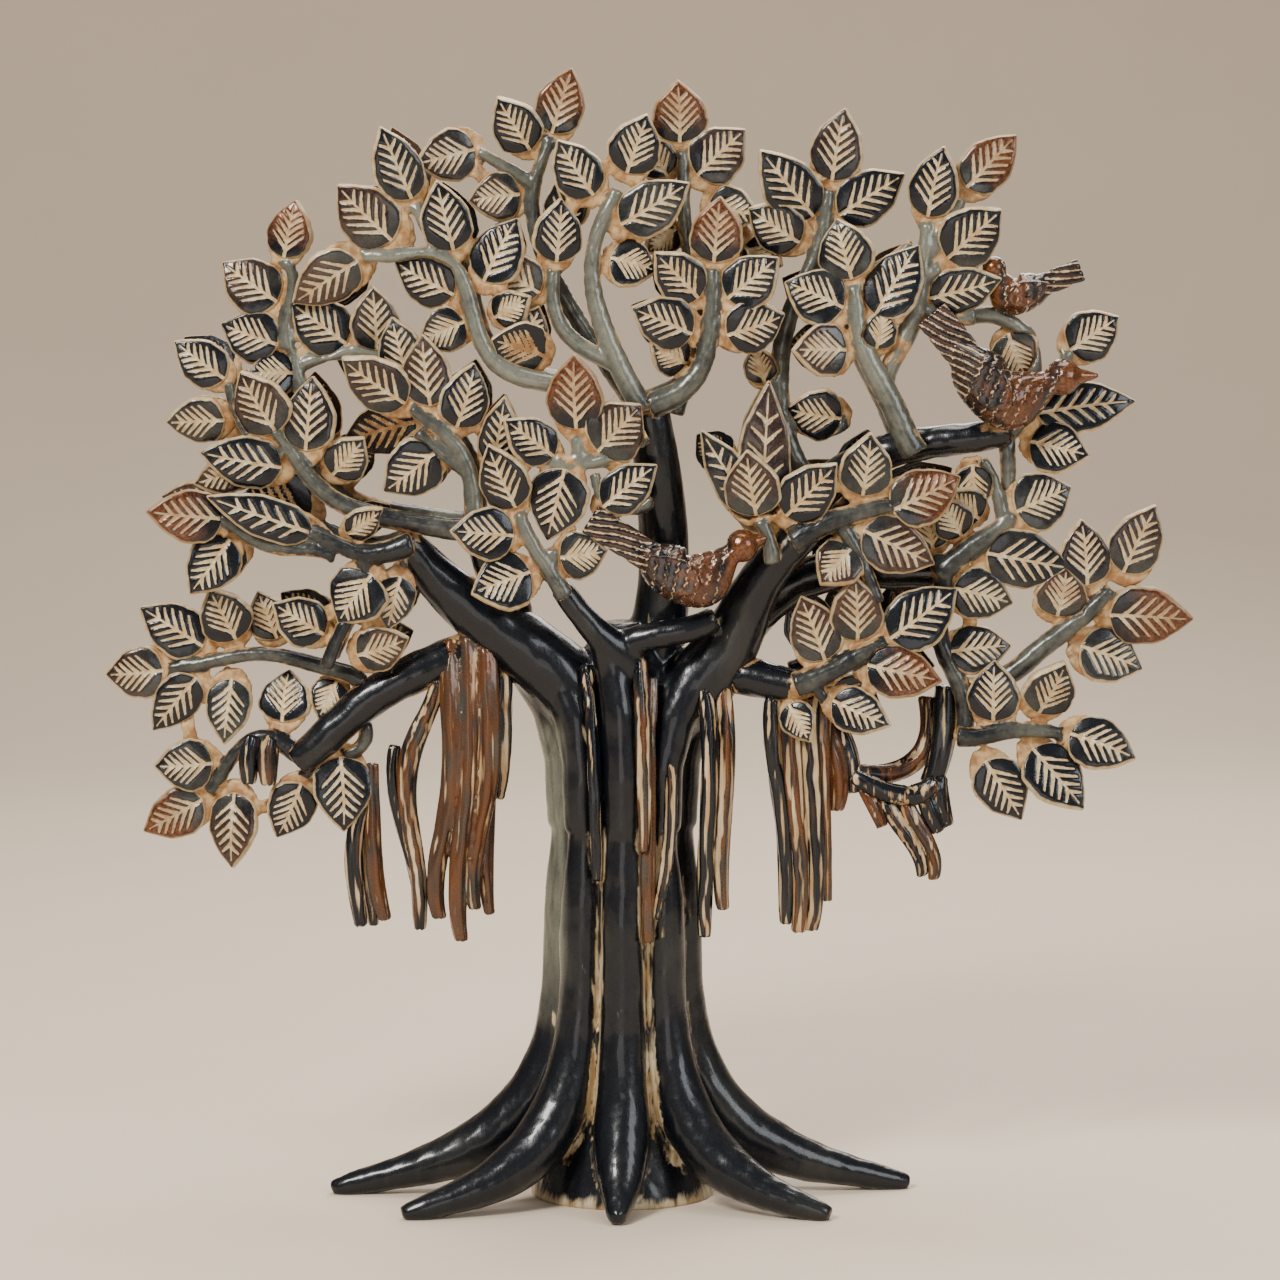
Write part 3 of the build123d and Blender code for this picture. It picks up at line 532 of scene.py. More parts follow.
def welded(node: str) -> Solid:
    """A node's mesh with its corners shared between faces.

    Args:
        node: The node's name.

    Returns:
        The welded mesh.
    """
    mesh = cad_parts[node].data
    points = np.empty(len(mesh.vertices) * 3)
    mesh.vertices.foreach_get("co", points)
    points = points.reshape(-1, 3)
    mesh.calc_loop_triangles()
    faces = np.empty(len(mesh.loop_triangles) * 3, dtype=np.int64)
    mesh.loop_triangles.foreach_get("vertices", faces)
    matrix = np.array(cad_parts[node].matrix_world)
    points = points @ matrix[:3, :3].T + matrix[:3, 3]
    places = np.round(points * WELD_STEPS).astype(np.int64)
    _, first, inverse = np.unique(places, axis=0, return_index=True, return_inverse=True)
    faces = inverse.reshape(-1)[faces].reshape(-1, 3)
    whole = (faces[:, 0] != faces[:, 1]) & (faces[:, 1] != faces[:, 2]) & (faces[:, 0] != faces[:, 2])
    return Solid(points[first], faces[whole])


def loose_parts(solid: Solid) -> list[Solid]:
    """The separate solids of a mesh.

    Args:
        solid: A welded mesh.

    Returns:
        One mesh for each part, in a fixed order.
    """
    label = np.arange(len(solid.points))
    while True:
        lowest = label[solid.faces].min(axis=1)
        before = label.copy()
        for corner in range(3):
            np.minimum.at(label, solid.faces[:, corner], lowest)
        label = label[label]
        if np.array_equal(before, label):
            break
    parts = []
    for number in np.unique(label[solid.faces[:, 0]]):
        faces = solid.faces[label[solid.faces[:, 0]] == number]
        used, inverse = np.unique(faces, return_inverse=True)
        parts.append(Solid(solid.points[used], inverse.reshape(-1, 3)))
    return parts


def joined(parts: Sequence[Solid]) -> Solid:
    """Several meshes as one, in the same order."""
    starts = np.cumsum([0] + [len(part.points) for part in parts])
    faces = [part.faces + start for part, start in zip(parts, starts)]
    return Solid(np.concatenate([part.points for part in parts]), np.concatenate(faces))


def search_tree(shape: Solid) -> BVHTree:
    """A mesh's faces, ready for ray casts and nearest points."""
    return BVHTree.FromPolygons(shape.points.tolist(), shape.faces.tolist())


def new_mesh(name: str, shape: Solid) -> bpy.types.Mesh:
    """A Blender mesh from arrays."""
    mesh = bpy.data.meshes.new(name)
    mesh.from_pydata(shape.points.tolist(), [], shape.faces.tolist())
    mesh.update()
    return mesh


def new_object(name: str, mesh: bpy.types.Mesh, material: bpy.types.Material) -> bpy.types.Object:
    """A smooth-shaded object in the scene, with one material."""
    mesh.materials.clear()
    mesh.materials.append(material)
    mesh.polygons.foreach_set("use_smooth", [True] * len(mesh.polygons))
    made = bpy.data.objects.new(name, mesh)
    bpy.context.collection.objects.link(made)
    return made


def put(mesh: bpy.types.Mesh, name: str, values: Array, kind: str = "FLOAT") -> None:
    """Store one value per corner as a mesh attribute."""
    layer = mesh.attributes.new(name, kind, "POINT")
    flat = np.ascontiguousarray(values).reshape(-1)
    layer.data.foreach_set("value" if kind == "FLOAT" else "vector", flat)


def smooth_noise(points: Array, scale: float, seed: int) -> Array:
    """A cheap smooth noise from sums of sines.

    Args:
        points: Positions in metres.
        scale: Cells per metre.
        seed: Picks the pattern.

    Returns:
        Values from about -1 to 1.
    """
    rng = np.random.default_rng(seed)
    total = np.zeros(len(points))
    for octave in range(6):
        wave = rng.normal(size=3)
        wave *= scale * (1.0 + 0.45 * octave) / np.linalg.norm(wave)
        total += np.sin(points @ wave * 2 * math.pi + rng.uniform(0, 6.28)) / (1.0 + 0.4 * octave)
    return total / 2.6


def cast_skin(name: str, shape: Solid, voxel: float, passes: int, swell: float) -> bpy.types.Mesh:
    """One smooth cast skin around closed shapes that may overlap.

    Args:
        name: The mesh's name.
        shape: The closed shapes.
        voxel: Size of the new mesh's faces.
        passes: Smoothing passes.
        swell: How far the skin is pushed out after smoothing.

    Returns:
        The new mesh.
    """
    holder = bpy.data.objects.new(name, new_mesh(name, shape))
    bpy.context.collection.objects.link(holder)
    remesh = holder.modifiers.new("skin", "REMESH")
    remesh.mode = "VOXEL"
    remesh.voxel_size = voxel
    smooth = holder.modifiers.new("smooth", "SMOOTH")
    smooth.iterations = passes
    smooth.factor = 0.5
    push = holder.modifiers.new("swell", "DISPLACE")
    push.strength = swell
    push.mid_level = 0.0
    mesh = bpy.data.meshes.new_from_object(holder.evaluated_get(bpy.context.evaluated_depsgraph_get()))
    old = holder.data
    bpy.data.objects.remove(holder)
    bpy.data.meshes.remove(old)
    mesh.name = name
    return mesh


def corner_arrays(mesh: bpy.types.Mesh) -> tuple[Array, Array]:
    """A mesh's corner positions and normals."""
    points = np.empty(len(mesh.vertices) * 3)
    mesh.vertices.foreach_get("co", points)
    normals = np.empty(len(mesh.vertices) * 3)
    mesh.vertices.foreach_get("normal", normals)
    return points.reshape(-1, 3), normals.reshape(-1, 3)


def move_corners(mesh: bpy.types.Mesh, points: Array) -> None:
    """Put a mesh's corners at new positions."""
    mesh.vertices.foreach_set("co", points.reshape(-1))
    mesh.update()


def roughen(mesh: bpy.types.Mesh, depth: float, scale: float, seed: int) -> None:
    """Push a mesh's corners in and out by a smooth noise.

    Args:
        mesh: The mesh to change.
        depth: How far.
        scale: Cells per metre.
        seed: Picks the pattern.
    """
    points, normals = corner_arrays(mesh)
    move_corners(mesh, points + normals * (smooth_noise(points, scale, seed) * depth)[:, None])


def above_table(points: Array) -> Array:
    """Positions with none below the table."""
    return np.column_stack([points[:, :2], np.maximum(points[:, 2], 0.0)])


def sideways(normals: Array) -> Array:
    """How far each point's surface turns away from the front or the back, from 0 to 1."""
    return 1.0 - np.abs(normals[:, 1])


class Surroundings:
    """Everything in the frame, for finding the hollows between pieces."""

    REACH = 5.5 * MM
    LIFT = 0.7 * MM
    RAYS = 7
    TURN = 2.4
    DOME = 0.92

    def __init__(self, nodes: Sequence[str]) -> None:
        """Gather the nodes into one search tree, and spread the rays over a dome.

        Args:
            nodes: Names of the CAD nodes.
        """
        self.tree = search_tree(joined([SOLIDS[node] for node in nodes]))
        self.spread: list[Vector] = []
        for ray in range(self.RAYS):
            z = 1 - (ray + 0.5) / self.RAYS * self.DOME
            out = math.sqrt(1 - z * z)
            self.spread.append(Vector((out * math.cos(self.TURN * ray), out * math.sin(self.TURN * ray), z)))

    def hollow(self, points: Array, normals: Array) -> Array:
        """How closed in each point is, from 0 in the open to 1.

        Args:
            points: Positions.
            normals: Directions away from the surface.

        Returns:
            One value per point.
        """
        found = np.zeros(len(points))
        cast = self.tree.ray_cast
        for index, (point, normal) in enumerate(zip(points.tolist(), normals.tolist())):
            up = Vector(normal)
            start = Vector(point) + up * self.LIFT
            turn = up.to_track_quat("Z", "X")
            hits = 0
            for ray in self.spread:
                if cast(start, turn @ ray, self.REACH)[0] is not None:
                    hits += 1
            found[index] = hits / len(self.spread)
        return found


# ------------------------------------------------------------------ pieces


class Piece:
    """Base of every visible piece: a mesh that replaces CAD nodes and rides on the frame."""

    def show(self, mesh: bpy.types.Mesh, material: bpy.types.Material, slot: str, *nodes: str) -> None:
        """Make the object, named after its mesh, hang it on the root body and hide the CAD nodes it stands
        for.

        Args:
            mesh: Its mesh.
            material: Its material.
            slot: The record's material slot; not used.
            nodes: The CAD nodes it stands for.
        """
        piece = new_object(mesh.name, mesh, material)
        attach(piece, "root")
        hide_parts(*nodes)
        LOG.info("%s: %d faces", piece.name, len(mesh.polygons))


@dataclass
class LeafShape:
    """One leaf's place, found from its solid.

    Args:
        base: Where the blade starts, on its veined face.
        along: Direction to the tip.
        normal: Direction its veined face looks.
        length: The blade's length.
        half: Half its width.
        tone: A number that varies from leaf to leaf.
        amber: How warm its patina is.
    """

    base: Array
    along: Array
    normal: Array
    length: float
    half: float
    tone: float = 0.0
    amber: float = 0.0

    @property
    def side(self) -> Array:
        """Direction across the leaf."""
        return np.cross(self.normal, self.along)

    @property
    def tip(self) -> Array:
        """The leaf's tip."""
        return self.base + self.along * self.length


ENGRAVED = 0.8 * MM
RIB_START = 0.05
RIB_SPAN = 0.79
SAME_WAY = 0.999
LEAST_FACE = 20 * MM * MM
LEAST_CUT = 6 * MM * MM
LEAST_LENGTH = 9 * MM
LEAST_HALF = 2.5 * MM


def read_leaf(solid: Solid, twigs: KDTree) -> LeafShape | None:
    """Find a leaf's place from its flat face and the midrib cut into it, or else from its outline.

    Args:
        solid: One leaf solid.
        twigs: The corners of the twigs, to tell the stalk from the tip.

    Returns:
        The leaf, or None where only a sliver is left.
    """
    normals, areas = solid.normals()
    middles = solid.points[solid.faces].mean(axis=1)
    key = np.round(normals * 200).astype(np.int64)
    unique, inverse = np.unique(key, axis=0, return_inverse=True)
    totals = np.bincount(inverse.reshape(-1), weights=areas)
    best: LeafShape | None = None
    best_floor = 0.0
    for number in np.argsort(-totals)[:4]:
        facing = unique[number] / np.linalg.norm(unique[number])
        flat = normals @ facing > SAME_WAY
        if areas[flat].sum() < LEAST_FACE:
            continue
        facing = (normals[flat] * areas[flat][:, None]).sum(axis=0)
        facing /= np.linalg.norm(facing)
        depth = middles @ facing
        top = depth[flat].max()
        floor = flat & (np.abs(depth - top + ENGRAVED) < 0.12 * MM)
        if areas[floor].sum() <= max(best_floor, LEAST_CUT):
            continue
        best_floor = areas[floor].sum()
        best = measure_leaf(solid, facing, top, flat & ~floor, floor, middles, areas, twigs)
    return best or outline_leaf(solid, unique[np.argmax(totals)], twigs)


def backward(centre: Array, along: Array, reach: Array, twigs: KDTree) -> bool:
    """Whether a leaf's direction runs from tip to stalk, told by which end is nearer a twig.

    Args:
        centre: A point in the leaf.
        along: Its direction.
        reach: Distances along that direction, from the point.
        twigs: The corners of the twigs.

    Returns:
        True where the far end is the nearer one.
    """
    near, far = (twigs.find(Vector(centre + along * end))[2] for end in (reach.min(), reach.max()))
    return far < near


def outline_leaf(solid: Solid, facing: Array, twigs: KDTree) -> LeafShape | None:
    """Find a leaf's place from its outline alone, where no cut is left in its face.

    Args:
        solid: One leaf solid.
        facing: Direction of its largest face, of any length.
        twigs: The corners of the twigs.

    Returns:
        The leaf, or None where only a sliver is left.
    """
    facing = facing / np.linalg.norm(facing)
    facing = facing if facing[1] < 0 else -facing
    apart = solid.points - solid.centre()
    flat = apart - np.outer(apart @ facing, facing)
    _, vectors = np.linalg.eigh(flat.T @ flat)
    along = vectors[:, 2]
    reach = flat @ along
    if backward(solid.centre(), along, reach, twigs):
        along, reach = -along, -reach
    length = float(reach.max() - reach.min())
    half = float(np.abs(flat @ np.cross(facing, along)).max())
    base = solid.centre() + along * reach.min() + facing * (apart @ facing).max()
    if length < LEAST_LENGTH or half < LEAST_HALF:
        return None
    return LeafShape(base, along, facing, length, min(half, 0.42 * length))


def measure_leaf(solid: Solid, facing: Array, top: float, face: Array, floor: Array,
                 middles: Array, areas: Array, twigs: KDTree) -> LeafShape:
    """Measure a leaf along the midrib cut into its face.

    Args:
        solid: The leaf solid.
        facing: Direction the veined face looks.
        top: The face's distance along that direction.
        face: Which triangles lie on the face.
        floor: Which triangles lie in the cuts.
        middles: Centres of the triangles.
        areas: Areas of the triangles.
        twigs: The corners of the twigs.

    Returns:
        The leaf.
    """
    weight = areas[floor] / areas[floor].sum()
    centre = (middles[floor] * weight[:, None]).sum(axis=0)
    apart = middles[floor] - centre
    apart -= np.outer(apart @ facing, facing)
    _, vectors = np.linalg.eigh((apart * weight[:, None]).T @ apart)
    along = vectors[:, 2]
    cut = solid.points[np.unique(solid.faces[floor])] - centre
    reach = cut @ along
    if backward(centre, along, reach, twigs):
        along, reach = -along, -reach
    length = (reach.max() - reach.min()) / RIB_SPAN
    base = centre + along * (reach.min() - RIB_START * length)
    base += facing * (top - base @ facing)
    outline = solid.points[np.unique(solid.faces[face])] - base
    half = np.abs(outline @ np.cross(facing, along)).max()
    return LeafShape(base, along, facing, length, min(half, 0.5 * length))


class Warmth(Enum):
    """Which leaf of a spray carries the warm patina."""

    OUTER = "farthest from the middle of the tree"
    HIGHEST = "highest"
    NONE = "none"


@dataclass
class LeafCutter:
    """Builds engraved leaves.

    Args:
        veins: The engraved pattern.
        steps: Faces along a leaf.
        rows: Faces across it.
        thick: Thickness.
        flare: How far the side spreads behind the face.
        crown: How far the face swells.
        fuller: How much wider the finished blade is than its plain solid.
        longer: How much longer it is.
    """

    veins: Veins
    steps: int = 42
    rows: int = 22
    thick: float = 3.3 * MM
    flare: float = 0.45 * MM
    crown: float = 0.75 * MM
    fuller: float = 1.16
    longer: float = 1.10

    EDGE_AT = (0.0, 0.03, 0.09, 0.20, 0.36, 0.52, 0.68, 0.82, 0.92, 1.0)
    EDGE_WIDE = (0.10, 0.40, 0.70, 0.93, 1.0, 0.94, 0.76, 0.47, 0.22, 0.012)
    PITCH = 0.14
    ROLL = 0.17
    LIFT = 0.5 * MM
    DROOP_FROM = 0.55

    def settle(self, leaf: LeafShape) -> None:
        """Give a leaf its finished size, with a slight tilt and roll of its own.

        Args:
            leaf: The leaf to change.
        """
        leaf.length *= self.longer
        leaf.half *= self.fuller
        pitch = self.PITCH * math.sin(leaf.tone * 71.0)
        roll = self.ROLL * math.sin(leaf.tone * 97.0)
        side = leaf.side
        leaf.along = leaf.along * math.cos(pitch) + leaf.normal * math.sin(pitch)
        side = side * math.cos(roll) + leaf.normal * math.sin(roll)
        leaf.normal = np.cross(leaf.along, side)
        leaf.normal /= np.linalg.norm(leaf.normal)
        leaf.base = leaf.base + leaf.normal * (self.LIFT * math.sin(leaf.tone * 43.0))

    def half_width(self, along: Array, leaf: LeafShape) -> Array:
        """Half the width at shares of the length."""
        wide = np.interp(along, self.EDGE_AT, self.EDGE_WIDE)
        ripple = 1.0 + 0.025 * np.sin(along * 17 + leaf.tone * 40)
        return wide * ripple * leaf.half

    def grid(self) -> tuple[Array, Array]:
        """Shares along and across the leaf at each corner of the grid."""
        share = np.linspace(0.0, 1.0, self.steps + 1)
        share = share * 0.8 + 0.2 * (1 - np.cos(share * math.pi)) / 2
        across = np.linspace(-1.0, 1.0, self.rows + 1)
        along, over = np.meshgrid(share, across, indexing="ij")
        return along.reshape(-1), over.reshape(-1)

    def build(self, leaf: LeafShape) -> tuple[Solid, dict[str, Array]]:
        """One closed leaf.

        Args:
            leaf: Its place and size.

        Returns:
            The mesh, and its attributes by name.
        """
        along, over = self.grid()
        half = self.half_width(along, leaf)
        x = along * leaf.length
        bend = 0.035 * leaf.half * math.sin(leaf.tone * 31) * np.sin(along * math.pi)
        y = over * half
        stagger = 0.10 + 0.12 * math.sin(leaf.tone * 57)
        cut = self.veins.relief(x / MM, y / MM, over, leaf.length / MM, stagger)
        swell = self.crown * (1 - over**2) * np.sin(np.clip(along * 1.1, 0, 1) * math.pi) ** 0.7
        droop = -1.0 * MM * np.clip(along - self.DROOP_FROM, 0, 1) ** 2 / 0.2
        edge = (1 - np.abs(over)) * half
        bevel = -0.30 * MM * np.clip(1 - edge / (0.5 * MM), 0, 1)
        lift = swell + droop + bevel - self.veins.depth * cut
        front = self.spot(leaf, x, y + bend, lift)
        count = len(x)
        back_lift = droop - self.thick + self.veins.depth * cut + 0.25 * MM * (np.abs(over) > 0.999)
        back = self.spot(leaf, x, y * 1.02 + bend, back_lift)
        loop = self.loop()
        ring_x, ring_y, ring_lift = x[loop], (y + bend)[loop], (droop + bevel)[loop]
        out_x, out_y = self.outward(ring_x, ring_y).T
        wall = ((self.flare * 0.75, 0.55 * MM), (self.flare, self.thick * 0.55),
                (self.flare * 0.8, self.thick * 0.88))
        rings = [self.spot(leaf, ring_x + out_x * spread, ring_y + out_y * spread, ring_lift - drop)
                 for spread, drop in wall]
        points = np.concatenate([front, back, *rings])
        faces = self.faces(count, loop, len(rings))
        total = len(points)
        data = {name: np.zeros(total) for name in ("leaf_face", "leaf_rim_highlight", "leaf_wall", "leaf_along")}
        data["leaf_face"][:2 * count] = 1.0
        # painted highlight: a band along the front face's bevelled edge, fading out near the tip, which the
        # finish colours pale
        data["leaf_rim_highlight"][:count] = np.clip(1 - (edge - 0.15 * MM) / (0.55 * MM), 0, 1)
        data["leaf_rim_highlight"][:count] *= np.clip((1.0 - along) * 12 + 0.25, 0, 1)
        data["leaf_wall"][2 * count:] = 1.0
        data["leaf_wall"][loop] = 0.45
        data["leaf_along"][:count] = along
        data["leaf_along"][count:2 * count] = along
        data["leaf_along"][2 * count:] = np.tile(along[loop], len(rings))
        across = np.concatenate([y, y, np.tile(y[loop], len(rings))]) / MM
        lengthwise = np.concatenate([x, x, np.tile(x[loop], len(rings))]) / MM
        shares = np.concatenate([over, over, np.tile(over[loop], len(rings))])
        data["leaf_place"] = np.stack([lengthwise, across, shares], axis=1)
        for name, value in (("leaf_length", leaf.length / MM), ("leaf_stagger", stagger),
                            ("tone", leaf.tone), ("leaf_amber", leaf.amber)):
            data[name] = np.full(total, value)
        return Solid(points, faces), data

    def spot(self, leaf: LeafShape, x: Array, y: Array, lift: Array) -> Array:
        """Positions from distances along, across and above a leaf."""
        return leaf.base + np.outer(x, leaf.along) + np.outer(y, leaf.side) + np.outer(lift, leaf.normal)

    def outward(self, x: Array, y: Array) -> Array:
        """Directions out of the outline, in the leaf's own plane."""
        ahead = np.stack([np.roll(x, -1) - np.roll(x, 1), np.roll(y, -1) - np.roll(y, 1)], axis=1)
        ahead /= np.maximum(np.linalg.norm(ahead, axis=1), 1e-9)[:, None]
        return np.stack([ahead[:, 1], -ahead[:, 0]], axis=1)

    def loop(self) -> Array:
        """Corner numbers round the grid, one way round."""
        wide = self.rows + 1
        lower = [step * wide for step in range(self.steps + 1)]
        end = [self.steps * wide + row for row in range(1, wide)]
        upper = [step * wide + self.rows for step in range(self.steps - 1, -1, -1)]
        start = [row for row in range(self.rows - 1, 0, -1)]
        return np.array(lower + end + upper + start)

    def faces(self, count: int, loop: Array, rings: int) -> Array:
        """Faces of the front, the back and the wall between them.

        Args:
            count: Corners on one side.
            loop: Corner numbers round the grid.
            rings: Rings in the wall.

        Returns:
            The quads as corner numbers.
        """
        wide = self.rows + 1
        made: list[list[int]] = []
        for step in range(self.steps):
            for row in range(self.rows):
                corner = step * wide + row
                quad = [corner, corner + wide, corner + wide + 1, corner + 1]
                made.append(quad)
                made.append([count + number for number in reversed(quad)])
        around = len(loop)
        starts = [2 * count + ring * around for ring in range(rings)]
        levels = [loop.tolist(), *(list(range(start, start + around)) for start in starts),
                  (loop + count).tolist()]
        for upper, lower in zip(levels, levels[1:]):
            for index in range(around):
                after = (index + 1) % around
                made.append([upper[index], lower[index], lower[after], upper[after]])
        return np.array(made)


@dataclass
class Spray(Piece):
    """A spray: its twigs and webs as one cast skin, and its engraved leaves.

    Args:
        name: The spray's name.
        warmth: Which of its leaves is warm.
        cutter: Builds the leaves.
        leaf_finish: The leaves' material.
        twig_finish: The twigs' material.
        around: The rest of the tree.
        voxel: Size of the skin's faces.
    """

    name: str
    warmth: Warmth
    cutter: LeafCutter
    leaf_finish: bpy.types.Material
    twig_finish: bpy.types.Material
    around: Surroundings
    voxel: float = 0.75 * MM
    leaves: list[LeafShape] = field(default_factory=list)

    MIDDLE = np.array([0.0, 0.0, 0.215])
    REACH = 1.35
    LEVEL = 2.5 * MM
    BAR_START = 0.30
    BAR_WIDE = np.array([3.0, 2.2, 3.0]) * MM
    PAD_AT = np.array([-0.20, -0.08, 0.06, 0.22, 0.42, 0.62, 0.76])
    PAD_WIDE = np.array([0.34, 0.72, 0.95, 1.02, 0.92, 0.62, 0.30])
    WEB_TOP = 1.4 * MM
    WEB_FOOT = 0.45 * MM
    TUCK = 1.7 * MM
    TUCK_FROM = 4.5 * MM
    AMBER_FROM = 0.72
    AMBER_MOST = 0.45

    def read(self) -> None:
        """Find every leaf of the spray, and choose the warm ones."""
        twigs = SOLIDS[f"{self.name}_twigs"]
        tree = KDTree(len(twigs.points))
        for index, point in enumerate(twigs.points.tolist()):
            tree.insert(point, index)
        tree.balance()
        for part in loose_parts(SOLIDS[f"{self.name}_leaves"]):
            leaf = read_leaf(part, tree)
            if leaf is None:
                LOG.info("%s: the sliver of a leaf is left out", self.name)
                continue
            leaf.tone = (abs(math.sin(leaf.tip[0] * 913.0 + leaf.tip[2] * 471.0)) * 17.0) % 1.0
            self.cutter.settle(leaf)
            self.leaves.append(leaf)
        self.warm()

    def warm(self) -> None:
        """Give the warm patina to the spray's end leaf."""
        seen = [leaf for leaf in self.leaves if leaf.normal[1] < 0]
        if self.warmth is Warmth.OUTER:
            max(seen, key=lambda leaf: np.linalg.norm(leaf.tip - self.MIDDLE)).amber = 1.0
        if self.warmth is Warmth.HIGHEST:
            max(seen, key=lambda leaf: leaf.tip[2]).amber = 1.0
        for leaf in self.leaves:
            share = max(0.0, leaf.tone - self.AMBER_FROM) / (1 - self.AMBER_FROM)
            leaf.amber = max(leaf.amber, self.AMBER_MOST * share)

    def build(self) -> None:
        """Make the spray's two pieces."""
        self.read()
        self.build_leaves()
        self.build_body()

    def build_leaves(self) -> None:
        """Make the leaves."""
        blades, data = zip(*(self.cutter.build(leaf) for leaf in self.leaves))
        mesh = new_mesh(f"{self.name}_leaf_blades", joined(blades))
        for key in data[0]:
            values = np.concatenate([attributes[key] for attributes in data])
            put(mesh, key, values, "FLOAT_VECTOR" if key == "leaf_place" else "FLOAT")
        self.show(mesh, self.leaf_finish, "leaf_brass", f"{self.name}_leaves")

    def slab(self, leaf: LeafShape, x: Array, wide: Array, turn: float = 0.0) -> Solid:
        """A closed slab behind a leaf, given its half width at places along it.

        Args:
            leaf: The leaf.
            x: Distances from the leaf's base.
            wide: Half widths there.
            turn: Angle from the leaf's own direction, about its normal.

        Returns:
            The slab, in triangles.
        """
        along = np.repeat(x, 2)
        across = np.stack([-wide, wide], axis=1).reshape(-1)
        turned = along * math.cos(turn) - across * math.sin(turn)
        across = along * math.sin(turn) + across * math.cos(turn)
        count = len(along)
        top = self.cutter.spot(leaf, turned, across, np.full(count, -self.WEB_TOP))
        low = self.cutter.spot(leaf, turned, across, np.full(count, self.WEB_FOOT - self.cutter.thick))
        quads: list[tuple[int, int, int, int]] = []
        for step in range(len(x) - 1):
            a, b, c, d = 2 * step, 2 * step + 2, 2 * step + 3, 2 * step + 1
            quads += [(a, b, c, d), (count + d, count + c, count + b, count + a),
                      (a, count + a, count + b, b), (c, count + c, count + d, d)]
        last = count - 2
        quads += [(1, count + 1, count, 0), (last, count + last, count + last + 1, last + 1)]
        faces = [[quad[0], *pair] for quad in quads for pair in (quad[1:3], quad[2:4])]
        return Solid(np.concatenate([top, low]), np.array(faces))

    def webs(self) -> list[Solid]:
        """The webs behind the leaves: a pad under each blade, and a bar to each close neighbour."""
        made: list[Solid] = []
        for leaf in self.leaves:
            wide = leaf.half * (0.80 + 0.22 * leaf.tone)
            made.append(self.slab(leaf, self.PAD_AT * leaf.length, self.PAD_WIDE * wide))
            made += [self.bar(leaf, other) for other in self.leaves if self.neighbours(leaf, other)]
        return made

    def neighbours(self, leaf: LeafShape, other: LeafShape) -> bool:
        """Whether two leaves lie close together, side by side and facing the same way."""
        apart = (other.base + other.tip - leaf.base - leaf.tip) / 2
        close = float(np.linalg.norm(apart)) <= self.REACH * (leaf.half + other.half)
        level = abs(float(apart @ leaf.normal)) < self.LEVEL
        return other is not leaf and close and level and leaf.normal @ other.normal >= 0.5

    def bar(self, leaf: LeafShape, other: LeafShape) -> Solid:
        """A thin web from one leaf to another.

        Args:
            leaf: Where it starts.
            other: Where it ends.

        Returns:
            The web.
        """
        start = leaf.length * self.BAR_START
        aim = other.base + other.along * other.length * self.BAR_START - leaf.base - leaf.along * start
        turn = math.atan2(float(aim @ leaf.side), float(aim @ leaf.along))
        span = np.array([0.0, 0.5, 1.0]) * float(np.linalg.norm(aim))
        made = self.slab(leaf, span, self.BAR_WIDE, turn)
        return Solid(made.points + leaf.along * start, made.faces)

    def tucked(self, corners: Array) -> Array:
        """Press the webs down where they would rise through a blade.

        Args:
            corners: The skin's corners.

        Returns:
            The corners, each below every blade's face.
        """
        for leaf in self.leaves:
            apart = corners - leaf.base
            share = (apart @ leaf.along) / leaf.length
            over = np.abs(apart @ leaf.side)
            lift = apart @ leaf.normal
            inside = (share > 0.03) & (share < 1.0) & (lift > -self.TUCK) & (lift < self.TUCK_FROM)
            inside &= over < self.cutter.half_width(share, leaf) + 0.2 * MM
            corners = corners - np.outer(np.where(inside, lift + self.TUCK, 0.0), leaf.normal)
        return corners

    def build_body(self) -> None:
        """Make the twigs and the webs between the leaves."""
        twigs = SOLIDS[f"{self.name}_twigs"]
        body = joined([twigs, *self.webs()])
        mesh = cast_skin(f"{self.name}_twig_castings", body, self.voxel, 5, 0.25 * MM)
        roughen(mesh, 0.14 * MM, 190.0, 11)
        corners, normals = corner_arrays(mesh)
        corners = self.tucked(corners)
        move_corners(mesh, corners)
        hollow = self.around.hollow(corners, normals)
        near = search_tree(twigs)
        off = np.array([near.find_nearest(point)[3] for point in corners.tolist()])
        web = np.clip((off - 0.5 * MM) / (0.6 * MM), 0, 1)
        patch = 0.16 * smooth_noise(corners, 55.0, 9)
        wear = 0.06 + 0.50 * sideways(normals) + 0.42 * hollow + 0.55 * web + patch
        put(mesh, "wear", np.clip(wear, 0, 1))
        high = np.interp(corners[:, 2] / MM, (215, 290), (0.0, 0.6))
        put(mesh, "tone", 0.5 + 0.5 * smooth_noise(corners, 9.0, 5) + high)
        self.show(mesh, self.twig_finish, "twig_brass", f"{self.name}_twigs")


